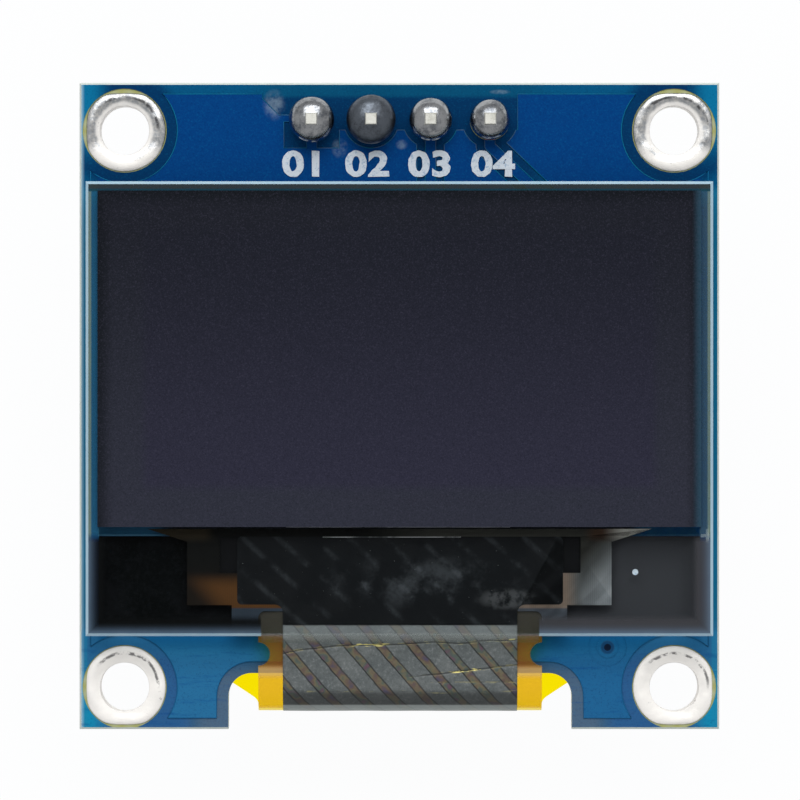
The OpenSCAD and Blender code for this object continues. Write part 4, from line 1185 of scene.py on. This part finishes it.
def rims(node: str, level: float) -> list[list[Point]]:
    """The outlines of a node's flat faces at one height.

    Args:
        node: The CAD node.
        level: The height in millimetres.

    Returns:
        Closed loops of points in millimetres.
    """
    mesh = frame["nodes"][node].data
    keys = [tuple(round(c / MM, 3) for c in v.co) for v in mesh.vertices]
    once: dict[tuple, tuple] = {}
    for face in mesh.polygons:
        ring = [keys[i] for i in face.vertices]
        if any(abs(p[2] - level) > 0.002 for p in ring):
            continue
        for a, b in zip(ring, ring[1:] + ring[:1]):
            if (b, a) in once:
                del once[(b, a)]
            else:
                once[(a, b)] = (a, b)
    following = {a: b for a, b in once}
    loops = []
    while following:
        start, point = next(iter(following.items()))
        loop = [start]
        del following[start]
        while point != start and point in following:
            loop.append(point)
            point = following.pop(point)
        if len(loop) > 2:
            loops.append(loop)
    return loops


def islands(node: str) -> list[tuple[Vector, Vector]]:
    """The boxes of a node's separate solids, in millimetres."""
    work = bmesh.new()
    work.from_mesh(frame["nodes"][node].data)
    bmesh.ops.remove_doubles(work, verts=work.verts, dist=1e-6)
    work.verts.ensure_lookup_table()
    left = set(range(len(work.verts)))
    found = []
    while left:
        stack = [left.pop()]
        points = []
        while stack:
            vert = work.verts[stack.pop()]
            points.append(vert.co / MM)
            for edge in vert.link_edges:
                other = edge.other_vert(vert).index
                if other in left:
                    left.remove(other)
                    stack.append(other)
        low = Vector(min(p[i] for p in points) for i in range(3))
        high = Vector(max(p[i] for p in points) for i in range(3))
        found.append((low, high))
    work.free()
    return sorted(found, key=lambda box: (round(box[0].x, 2), round(box[0].y, 2)))


def open_vias() -> list[Vector]:
    """Middles of the vias that the display panel leaves in view, in millimetres."""
    low, high = box_mm("foam_tape")
    middles = [(a + b) / 2 for a, b in islands("vias")]
    return [m for m in middles if not (low.x < m.x < high.x and low.y < m.y < high.y)]


def dress(finish: Finish, *nodes: str) -> None:
    """Gives CAD nodes a finish."""
    for node in nodes:
        made = frame["nodes"][node]
        for place in made.material_slots:
            place.material = finish.material()
        if not made.material_slots:
            made.data.materials.append(finish.material())
        LOG.info("dressed %s", node)


# ---- Sub-assemblies ------------------------------------------------------------------


@dataclass
class CircuitBoard:
    """The board with its mask, copper, vias and plated holes."""

    shoulder_r: float = 0.024
    label_size: float = 1.46
    label_wide: float = 1.22
    label_pitch: float = 2.69
    label_drop: float = 2.04
    label_rise: float = 0.022
    pad_rows: int = 18
    pad_columns: int = 144
    lip: float = 0.03
    clip_x: float = 1.645
    clip_y: float = 1.61
    dimple: tuple = ((0.3, 0.001), (0.26, 0.008), (0.2, 0.014), (0.15, 0.01), (0.1, 0.003), (0.05, 0.002), (0.01, 0.002))

    def build(self) -> None:
        """Dresses the board and adds the mask's shoulders, dimples, pads and numbers."""
        dress(Laminate(), "board")
        dress(BlueMask(), "front_mask", "back_mask")
        dress(COPPER, "front_copper", "back_copper", "vias")
        self.shoulders()
        self.dimples()
        for i in range(4):
            self.tin_pad(i + 1)
        self.numbers()

    def shoulders(self) -> None:
        """Round shoulders where the mask steps up over copper, on both faces."""
        for side, node, level in (("front", "front_mask", box_mm("front_mask")[1].z), ("back", "back_mask", box_mm("back_mask")[0].z)):
            sheet = Sheet()
            for loop in rims(node, level):
                if any(all((Vector(p[:2]) - via.xy).length < 1.3 for p in loop) for via in open_vias()):
                    continue
                inward = -0.3 if side == "front" else 0.3
                path = [(x, y, level + inward * self.shoulder_r) for x, y, _ in loop]
                add_bead(sheet, path, self.shoulder_r, True, 6)
            sheet.piece(f"mask_shoulders_{side}", MaskShoulder())
            LOG.info("built mask_shoulders_%s", side)

    def dimples(self) -> None:
        """A shallow dimple with a raised rim over each via, on both faces."""
        top = box_mm("front_mask")[1].z
        bottom = box_mm("back_mask")[0].z
        seen = open_vias()
        for n, (low, high) in enumerate(islands("vias")):
            middle = (low + high) / 2
            for side, level, out in (("front", top, 1), ("back", bottom, -1)):
                if side == "front" and middle not in seen:
                    continue
                sheet = Sheet()
                rows = []
                for r, h in self.dimple:
                    rows.append(
                        [
                            (middle.x + r * math.cos(a), middle.y + r * math.sin(a), level + out * h)
                            for a in (2 * math.pi * k / 28 for k in range(28))
                        ]
                    )
                sheet.grid(rows, closed=True)
                sheet.cap(len(sheet.points) - 28, 28)
                sheet.piece(f"via_dimple_{side}_{n + 1}", ViaInk(middle.x, middle.y))
                LOG.info("built via_dimple_%s_%d", side, n + 1)

    def tin_pad(self, number: int) -> None:
        """A plated hole with lumpy tinned pads on both faces, in place of the CAD ring."""
        node = f"hole_plating_{number}"
        thick = box_mm("board")[1].z
        mount = next(m for m in frame["record"]["mounts"] if m["name"] == "mounting_holes")["dims"]
        hole_r = mount["hole_r_mm"]
        pad_r = self.pad_reach(node, mount)
        sx, sy = (-1 if number % 2 else 1), (1 if number <= 2 else -1)
        cx, cy = sx * mount["spacing_x_mm"] / 2, sy * mount["spacing_y_mm"] / 2
        sheet = Sheet()
        rows = []
        for reach, z, swell in self.pad_profile(thick):
            row = []
            for k in range(self.pad_columns):
                a = 2 * math.pi * k / self.pad_columns
                c, s = math.cos(a), math.sin(a)
                outer = pad_r - 0.006 + lumps(c * 1.2, s * 1.2, 0.0, 0.5, number * 5.0) * 0.006
                for share, clip in ((c * sx, self.clip_x), (s * sy, self.clip_y)):
                    if share > 0.05:
                        flat = clip / share
                        outer = (outer**-24 + flat**-24) ** (-1 / 24)
                r = hole_r - self.lip + (outer - hole_r + self.lip) * max(reach, 0.0)
                r += self.lip * max(0.0, -reach)
                x, y = cx + r * c, cy + r * s
                lump = lumps(x, y, z, 0.7, number * 7.0) * 0.045 + lumps(x, y, z, 0.3, number * 3.0) * 0.01
                out = 1 if z > thick / 2 else -1
                row.append((x, y, z + out * swell * lump))
            rows.append(row)
        sheet.grid(rows, closed=True)
        made = sheet.piece(f"tin_pad_{number}", TinnedRing(cx, cy, 0.0 if sy > 0 else 1.0))
        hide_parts(node)
        LOG.info("built tin_pad_%d", number)

    @staticmethod
    def pad_reach(node: str, mount: dict) -> float:
        """Largest radius of a CAD hole plating about its hole."""
        return max(
            math.hypot(abs(v.co.x) / MM - mount["spacing_x_mm"] / 2, abs(v.co.y) / MM - mount["spacing_y_mm"] / 2)
            for v in frame["nodes"][node].data.vertices
        )

    def pad_profile(self, thick: float) -> list[tuple[float, float, float]]:
        """Section of a plated hole.

        Args:
            thick: The board's thickness.

        Returns:
            Rows of (share of the way from the hole to the pad's rim, height, share of the lumps);
            below 0 the share runs down the hole's lip.
        """
        n = self.pad_rows
        front = []
        for k in range(n + 1):
            t = k / n
            crown = 0.03 + 0.08 * math.sin(math.pi * t**1.5) ** 0.8
            front.append((t, thick + crown, math.sin(math.pi * t) ** 0.6))
        front.append((1.0, thick + 0.01, 0.0))
        back = [(t, thick - z, s) for t, z, s in front]
        wall = [(-min(1.0, k / 2, (8 - k) / 2), thick * (1 - k / 8), 0.0) for k in range(9)]
        return list(reversed(front)) + wall + back

    def numbers(self) -> None:
        """Plain pin numbers below the header."""
        top = box_mm("front_mask")[1].z
        first, last = box_mm("header_pin_1")[0], box_mm("header_pin_4")[1]
        for i in range(4):
            text = bpy.data.curves.new("number_source", "FONT")
            text.body = f"0{i + 1}"
            text.size = self.label_size * MM
            text.offset = 0.055 * MM
            text.extrude = 0.006 * MM
            text.align_x = "CENTER"
            text.space_character = 1.08
            holder = bpy.data.objects.new("number_source", text)
            bpy.context.scene.collection.objects.link(holder)
            bpy.context.view_layer.update()
            mesh = bpy.data.meshes.new_from_object(holder.evaluated_get(bpy.context.evaluated_depsgraph_get()))
            bpy.data.objects.remove(holder)
            mesh.name = f"pin_number_{i + 1}"
            centre = (first.x + last.x) / 2 - 0.09 + (i - 1.5) * self.label_pitch
            for vert in mesh.vertices:
                x, y, z = vert.co / MM
                x = centre + x * self.label_wide
                y += first.y - self.label_drop
                x, y = x + lumps(x, y, 0, 0.18, 4.0) * 0.03, y + lumps(x, y, 0, 0.18, 9.0) * 0.03
                vert.co = Vector((x, y, z + top + self.label_rise)) * MM
            mesh.materials.clear()
            mesh.materials.append(Silkscreen().material())
            made = bpy.data.objects.new(mesh.name, mesh)
            bpy.context.scene.collection.objects.link(made)
            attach(made, BODY)
            LOG.info("built %s", mesh.name)


@dataclass
class Header:
    """Four square pins in their black body, soldered from the front."""

    columns: int = 96
    dome_rows: int = 34
    tip_share: float = 0.69
    tip_rise: float = 0.06
    waist: float = 0.52
    foot: float = 0.3
    crown: float = 2.0

    def build(self) -> None:
        """Dresses the header and adds the solder domes."""
        dress(Moulding("header_plastic", tone(20, 20, 22), tone(52, 52, 54), 0.42, 7.0, 0.02), "header_body")
        dress(TIN, "pin_platings")
        dress(PIN, *(f"header_pin_{i}" for i in range(1, 5)))
        for i in range(1, 5):
            self.dome(i)

    def dome(self, number: int) -> None:
        """A dome of solder round one pin, in place of the CAD one."""
        node = f"solder_joint_{number}"
        low, high = box_mm(node)
        pin_low, pin_high = box_mm(f"header_pin_{number}")
        base = box_mm("front_mask")[1].z
        radius = (high.x - low.x) / 2
        cx, cy = (low.x + high.x) / 2, (low.y + high.y) / 2
        half = (pin_high.x - pin_low.x) / 2
        tip = half * self.tip_share
        top = pin_high.z - self.tip_rise
        sheet = Sheet()
        rows = []
        waist = base + (top - base) * self.waist
        for j in range(self.dome_rows + 1):
            t = j / self.dome_rows
            row = []
            for k in range(self.columns):
                a = 2 * math.pi * k / self.columns
                c, s = math.cos(a), math.sin(a)
                square = tip / max(abs(c), abs(s))
                angle = (t - self.foot) / (1 - self.foot) * math.pi / 2
                if t < self.foot:
                    r = radius * (1 - 0.12 * (1 - t / self.foot) ** 2)
                    z = base - 0.02 + (waist - base + 0.02) * t / self.foot
                else:
                    share = math.sin(angle)
                    r = radius * max(0.0, 1 - share ** self.crown) ** (1 / self.crown)
                    z = waist + (top - waist) * share
                r += lumps(c * 0.8, s * 0.8, z, 0.8, number * 11.0) * 0.025 * math.sin(math.pi * t)
                row.append((cx + max(r, square) * c, cy + max(r, square) * s, z))
            rows.append(row)
        for grow, z in ((1.0, pin_high.z - 0.02), (0.9, pin_high.z - 0.02)):
            row = []
            for k in range(self.columns):
                c, s = math.cos(2 * math.pi * k / self.columns), math.sin(2 * math.pi * k / self.columns)
                square = grow * tip / max(abs(c), abs(s))
                row.append((cx + square * c, cy + square * s, z))
            rows.append(row)
        sheet.grid(rows, closed=True)
        made = sheet.piece(f"solder_dome_{number}", DULL_SOLDER if number == 2 else SOLDER)
        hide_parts(node)
        LOG.info("built solder_dome_%d", number)


@dataclass
class DisplayPanel:
    """The glass panel with its polariser, inner layers, ledge and foam."""

    dot_x: float = 10.06
    dot_y: float = -6.96
    lit_from: float = -4.82
    lit_to: float = 4.7

    def build(self) -> None:
        """Dresses the panel's nodes and adds its thin lit edges."""
        dress(ClearGlass(), "substrate_glass", "cap_glass")
        dress(ClearResin(), "flex_resin")
        dress(SealResin(), "edge_seal")
        dress(PlainSheet("desiccant_sheet", tone(232, 232, 228), tone(210, 210, 204)), "desiccant")
        dress(OledFilm(), "oled_layers")
        dress(Polariser(), "polariser")
        dress(LeadMetal(), "ledge_leads")
        dress(Moulding("silicon", tone(70, 72, 80), tone(96, 98, 106), 0.2, 4.0, 0.004), "driver_chip")
        dress(Moulding("black_resin", tone(5, 6, 9), tone(16, 17, 20), 0.4, 5.0, 0.01, 0.1), "potting_bar")
        dress(BlackTape(), "ledge_tape")
        dress(Foam(), "foam_tape")
        self.polariser_edge()
        self.dot()
        self.mark()

    def polariser_edge(self) -> None:
        """A painted highlight: a pale bead along the polariser's lower edge, standing in for its glint."""
        low, high = box_mm("polariser")
        path = [(self.lit_from + (self.lit_to - self.lit_from) * k / 40, low.y + 0.004, high.z - 0.03) for k in range(41)]
        bead("polariser_edge", path, 0.02, PaleEdge())

    def dot(self) -> None:
        """A small white index dot on the glass's back, over the ledge."""
        level = box_mm("substrate_glass")[0].z - 0.012
        sheet = Sheet()
        rows = []
        for r, h in ((0.13, 0.01), (0.125, 0.0), (0.06, 0.001), (0.01, 0.001)):
            rows.append(
                [
                    (self.dot_x + r * math.cos(a), self.dot_y + r * math.sin(a), level + h)
                    for a in (2 * math.pi * k / 24 for k in range(24))
                ]
            )
        sheet.grid(rows, closed=True)
        sheet.cap(len(sheet.points) - 24, 24)
        sheet.piece("index_dot", Silkscreen())

    def mark(self) -> None:
        """A small pale corner mark at the ledge's right end."""
        ledge = box_mm("cap_glass")[0].y
        right = box_mm("substrate_glass")[1].x
        level = box_mm("substrate_glass")[0].z - 0.02
        sheet = Sheet()
        for x0, y0, x1, y1 in ((right - 0.5, ledge - 0.06, right - 0.12, ledge + 0.08), (right - 0.28, ledge - 0.3, right - 0.14, ledge + 0.3)):
            rows = [[(x0, y0, level), (x1, y0, level)], [(x0, y1, level), (x1, y1, level)]]
            sheet.grid(rows)
            level += 0.003
        sheet.piece("corner_mark", Silkscreen())


@dataclass
class FlexTail:
    """The amber flex with its printed conductors, cover, fingers and pads."""

    columns: int = 90
    flat_rows: int = 70
    bend_rows: int = 48
    thick: float = 0.036
    folds: tuple = (
        (0.82, -0.032, 0.045, 1.0, -9.0),
        (2.3, -0.115, 0.05, 0.9, 0.2),
        (2.47, 0.0, 0.035, 0.6, 1.0),
        (2.86, 0.0, 0.03, 0.55, -9.0),
    )

    def build(self) -> None:
        """Dresses the flex and adds the creased print."""
        dress(AmberFilm(), "flex_film")
        dress(CoverFilm(), "flex_cover")
        dress(GILT, "flex_fingers")
        dress(BareMetal(Metal.SOLDER, tone(200, 202, 204), tone(150, 152, 154), 0.16, 0.16, 3.0, 0.015, 0.2, "_pads"), "tail_pads", "part_solder")
        self.print_sheet()
        self.cover_beads()

    def path(self) -> list[tuple[float, float, float, float, float]]:
        """The strip's line as (y, z, outward y, outward z, run), from the front end round to the back."""
        low, high = box_mm("flex_print")
        radius = (high.z - low.z) / 2
        centre_z = (high.z + low.z) / 2
        centre_y = low.y + radius
        front_y = high.y
        back_y = box_mm("flex_fingers")[0].y
        line = []
        for k in range(self.flat_rows):
            y = front_y + (centre_y - front_y) * k / self.flat_rows
            line.append((y, high.z, 0.0, 1.0, front_y - y))
        flat = front_y - centre_y
        for k in range(self.bend_rows):
            a = math.pi * k / self.bend_rows
            line.append((centre_y - radius * math.sin(a), centre_z + radius * math.cos(a), -math.sin(a), math.cos(a), flat + radius * a))
        for k in range(21):
            y = centre_y + (back_y - centre_y) * k / 20
            line.append((y, low.z, 0.0, -1.0, flat + radius * math.pi + y - centre_y))
        return line

    def crease(self, x: float, run: float) -> float:
        """Depth of the folds across the strip, from 0 to 1, at a place on it."""
        depth = 0.0
        for place, slope, width, weight, start in self.folds:
            wander = lumps(x, place, 0, 1.3, place) * 0.1
            bend = 0.3 * math.exp(-((x + 5.2) / 0.8) ** 2) if start < -6 and place < 1 else 0.0
            fade = min(1.0, max(0.0, (x - start) / 0.8))
            depth = max(depth, fade * weight * math.exp(-(((run - place - slope * x - wander - bend) / width) ** 2)))
        return depth

    def print_sheet(self) -> None:
        """The printed zone as a thin creased sheet that follows the fold."""
        low, high = box_mm("flex_print")
        line = self.path()
        outer, inner, marks = [], [], []
        for y, z, oy, oz, run in line:
            row, under = [], []
            for i in range(self.columns + 1):
                x = low.x + (high.x - low.x) * i / self.columns
                fold = self.crease(x, run)
                swell = lumps(x, run, 0, 1.1, 2.0) * 0.01 - fold * 0.022 - 0.012
                row.append((x, y + oy * swell, z + oz * swell))
                under.append((x, y - oy * self.thick, z - oz * self.thick))
                marks.append((x, run, fold))
            outer.append(row)
            inner.append(under)
        sheet = Sheet()
        sheet.grid(outer)
        sheet.grid(inner)
        wide = self.columns + 1
        tall = len(line)
        half = wide * tall
        for j in range(tall - 1):
            for i in (0, wide - 1):
                sheet.faces.append((j * wide + i, (j + 1) * wide + i, half + (j + 1) * wide + i, half + j * wide + i))
        for i in range(wide - 1):
            for j in (0, tall - 1):
                sheet.faces.append((j * wide + i, j * wide + i + 1, half + j * wide + i + 1, half + j * wide + i))
        made = sheet.piece("printed_strip", HatchPrint())
        store = made.data.attributes.new("strip", "FLOAT_VECTOR", "POINT")
        store.data.foreach_set("vector", [c for mark in marks + marks for c in mark])
        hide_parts("flex_print")
        LOG.info("built printed_strip")

    def cover_beads(self) -> None:
        """Lit edges of the cover film."""
        low, high = box_mm("flex_cover")
        middle = (low.x + high.x) / 2
        path = [(middle - 3.3 + 5.9 * k / 30, high.y - 0.02, high.z - 0.012) for k in range(31)]
        bead("cover_edge", path, 0.018, PaleEdge("black_tape", tone(196, 198, 200), "_cover"))


@dataclass
class BackParts:
    """Chip capacitors and resistors, the regulator and the diode on the back."""

    capacitors: int = 6
    resistors: int = 8

    def build(self) -> None:
        """Dresses the small parts."""
        dress(Ceramic(), *(f"capacitor_{i}" for i in range(1, self.capacitors + 1)))
        dress(Ceramic("resistor_black", tone(24, 24, 26), tone(44, 44, 46)), *(f"resistor_{i}" for i in range(1, self.resistors + 1)))
        dress(TERMINAL, "part_terminals", "regulator_leads", "diode_leads")
        dress(Moulding(), "regulator_body", "diode_body")


@dataclass
class Studio:
    """The floor, the soft light and the camera."""

    view_width: float = 34.21
    distance: float = 262.0
    centre_x: float = 0.026
    centre_y: float = 0.376
    aim_z: float = 1.28
    sky_strength: float = 0.58
    sky: tuple = ((0.0, 0.8), (0.5, 1.0), (0.95, 1.0), (0.985, 0.08), (1.0, 0.04))

    def build(self) -> None:
        """Makes the stage."""
        self.camera()
        self.floor()
        self.world()
        self.lamp("north_box", (0.0, 0.31, 0.4), 0.5, 2.0)

    def camera(self) -> None:
        """A long lens straight above the module."""
        data = bpy.data.cameras.new("camera")
        data.sensor_width = 36.0
        data.lens = 36.0 * (self.distance - self.aim_z) / self.view_width
        data.clip_start = 0.01
        data.clip_end = 20.0
        made = bpy.data.objects.new("camera", data)
        made.location = (self.centre_x * MM, self.centre_y * MM, self.distance * MM)
        bpy.context.scene.collection.objects.link(made)
        bpy.context.scene.camera = made

    def floor(self) -> None:
        """A plain pale floor under the pins."""
        z = box_mm("header_pin_1")[0].z * MM - 0.00002
        mesh = bpy.data.meshes.new("floor")
        reach = 3.0
        mesh.from_pydata([(-reach, -reach, z), (reach, -reach, z), (reach, reach, z), (-reach, reach, z)], [], [(0, 1, 2, 3)])
        made = bpy.data.objects.new("floor", mesh)
        bpy.context.scene.collection.objects.link(made)
        tree = ShaderTree.material("stage_floor")
        rays = tree.node("LightPath")
        seen = Wire(tree, rays.outputs["Is Camera Ray"]).high(Wire(tree, rays.outputs["Is Glossy Ray"]))
        seen = seen.high(Wire(tree, rays.outputs["Is Transmission Ray"]))
        paint = tree.principled({"Base Color": (0.9, 0.9, 0.9), "Roughness": 0.9})
        glow = Wire(tree, tree.node("Emission", None, {"Color": (0.992, 0.996, 1.0), "Strength": 1.0}).outputs[0])
        made.data.materials.append(tree.finish(tree.blend(seen * 0.97, paint, glow)))

    def world(self) -> None:
        """A pale surround for the camera; for the module an even sky with a dark patch overhead."""
        tree = ShaderTree(bpy.data.worlds.new("studio"))
        bpy.context.scene.world = tree.owner
        place = tree.node("TexCoord")
        x, y, z = tree.axes(Wire(tree, place.outputs["Generated"]))
        grey = [(p, (v, v, v * 1.01)) for p, v in self.sky]
        ring = tree.colours(z, grey)
        rays = tree.node("LightPath")
        seen = Wire(tree, rays.outputs["Is Camera Ray"]).high(Wire(tree, rays.outputs["Is Transmission Ray"]))
        soft = Wire(tree, tree.node("Background", None, {0: ring, 1: self.sky_strength}).outputs[0])
        pale = Wire(tree, tree.node("Background", None, {0: (0.992, 0.996, 1.0), 1: 1.0}).outputs[0])
        tree.finish(tree.blend(seen, soft, pale), "World")

    def lamp(self, name: str, place: Point, size: float, power: float) -> None:
        """A soft box that looks at the module."""
        data = bpy.data.lights.new(name, "AREA")
        data.shape = "RECTANGLE"
        data.size = size
        data.size_y = size * 0.7
        data.energy = power
        made = bpy.data.objects.new(name, data)
        made.location = place
        made.rotation_euler = (-Vector(place)).to_track_quat("-Z", "Y").to_euler()
        bpy.context.scene.collection.objects.link(made)


def main() -> None:
    """Builds the sub-assemblies in order, then the stage."""
    logging.basicConfig(level=logging.INFO, format="%(name)s: %(message)s")
    for part in (CircuitBoard(), Header(), DisplayPanel(), FlexTail(), BackParts(), Studio()):
        part.build()
        LOG.info("%s done", type(part).__name__)
    bpy.context.scene.view_settings.view_transform = "Standard"


if __name__ == "__main__":
    main()
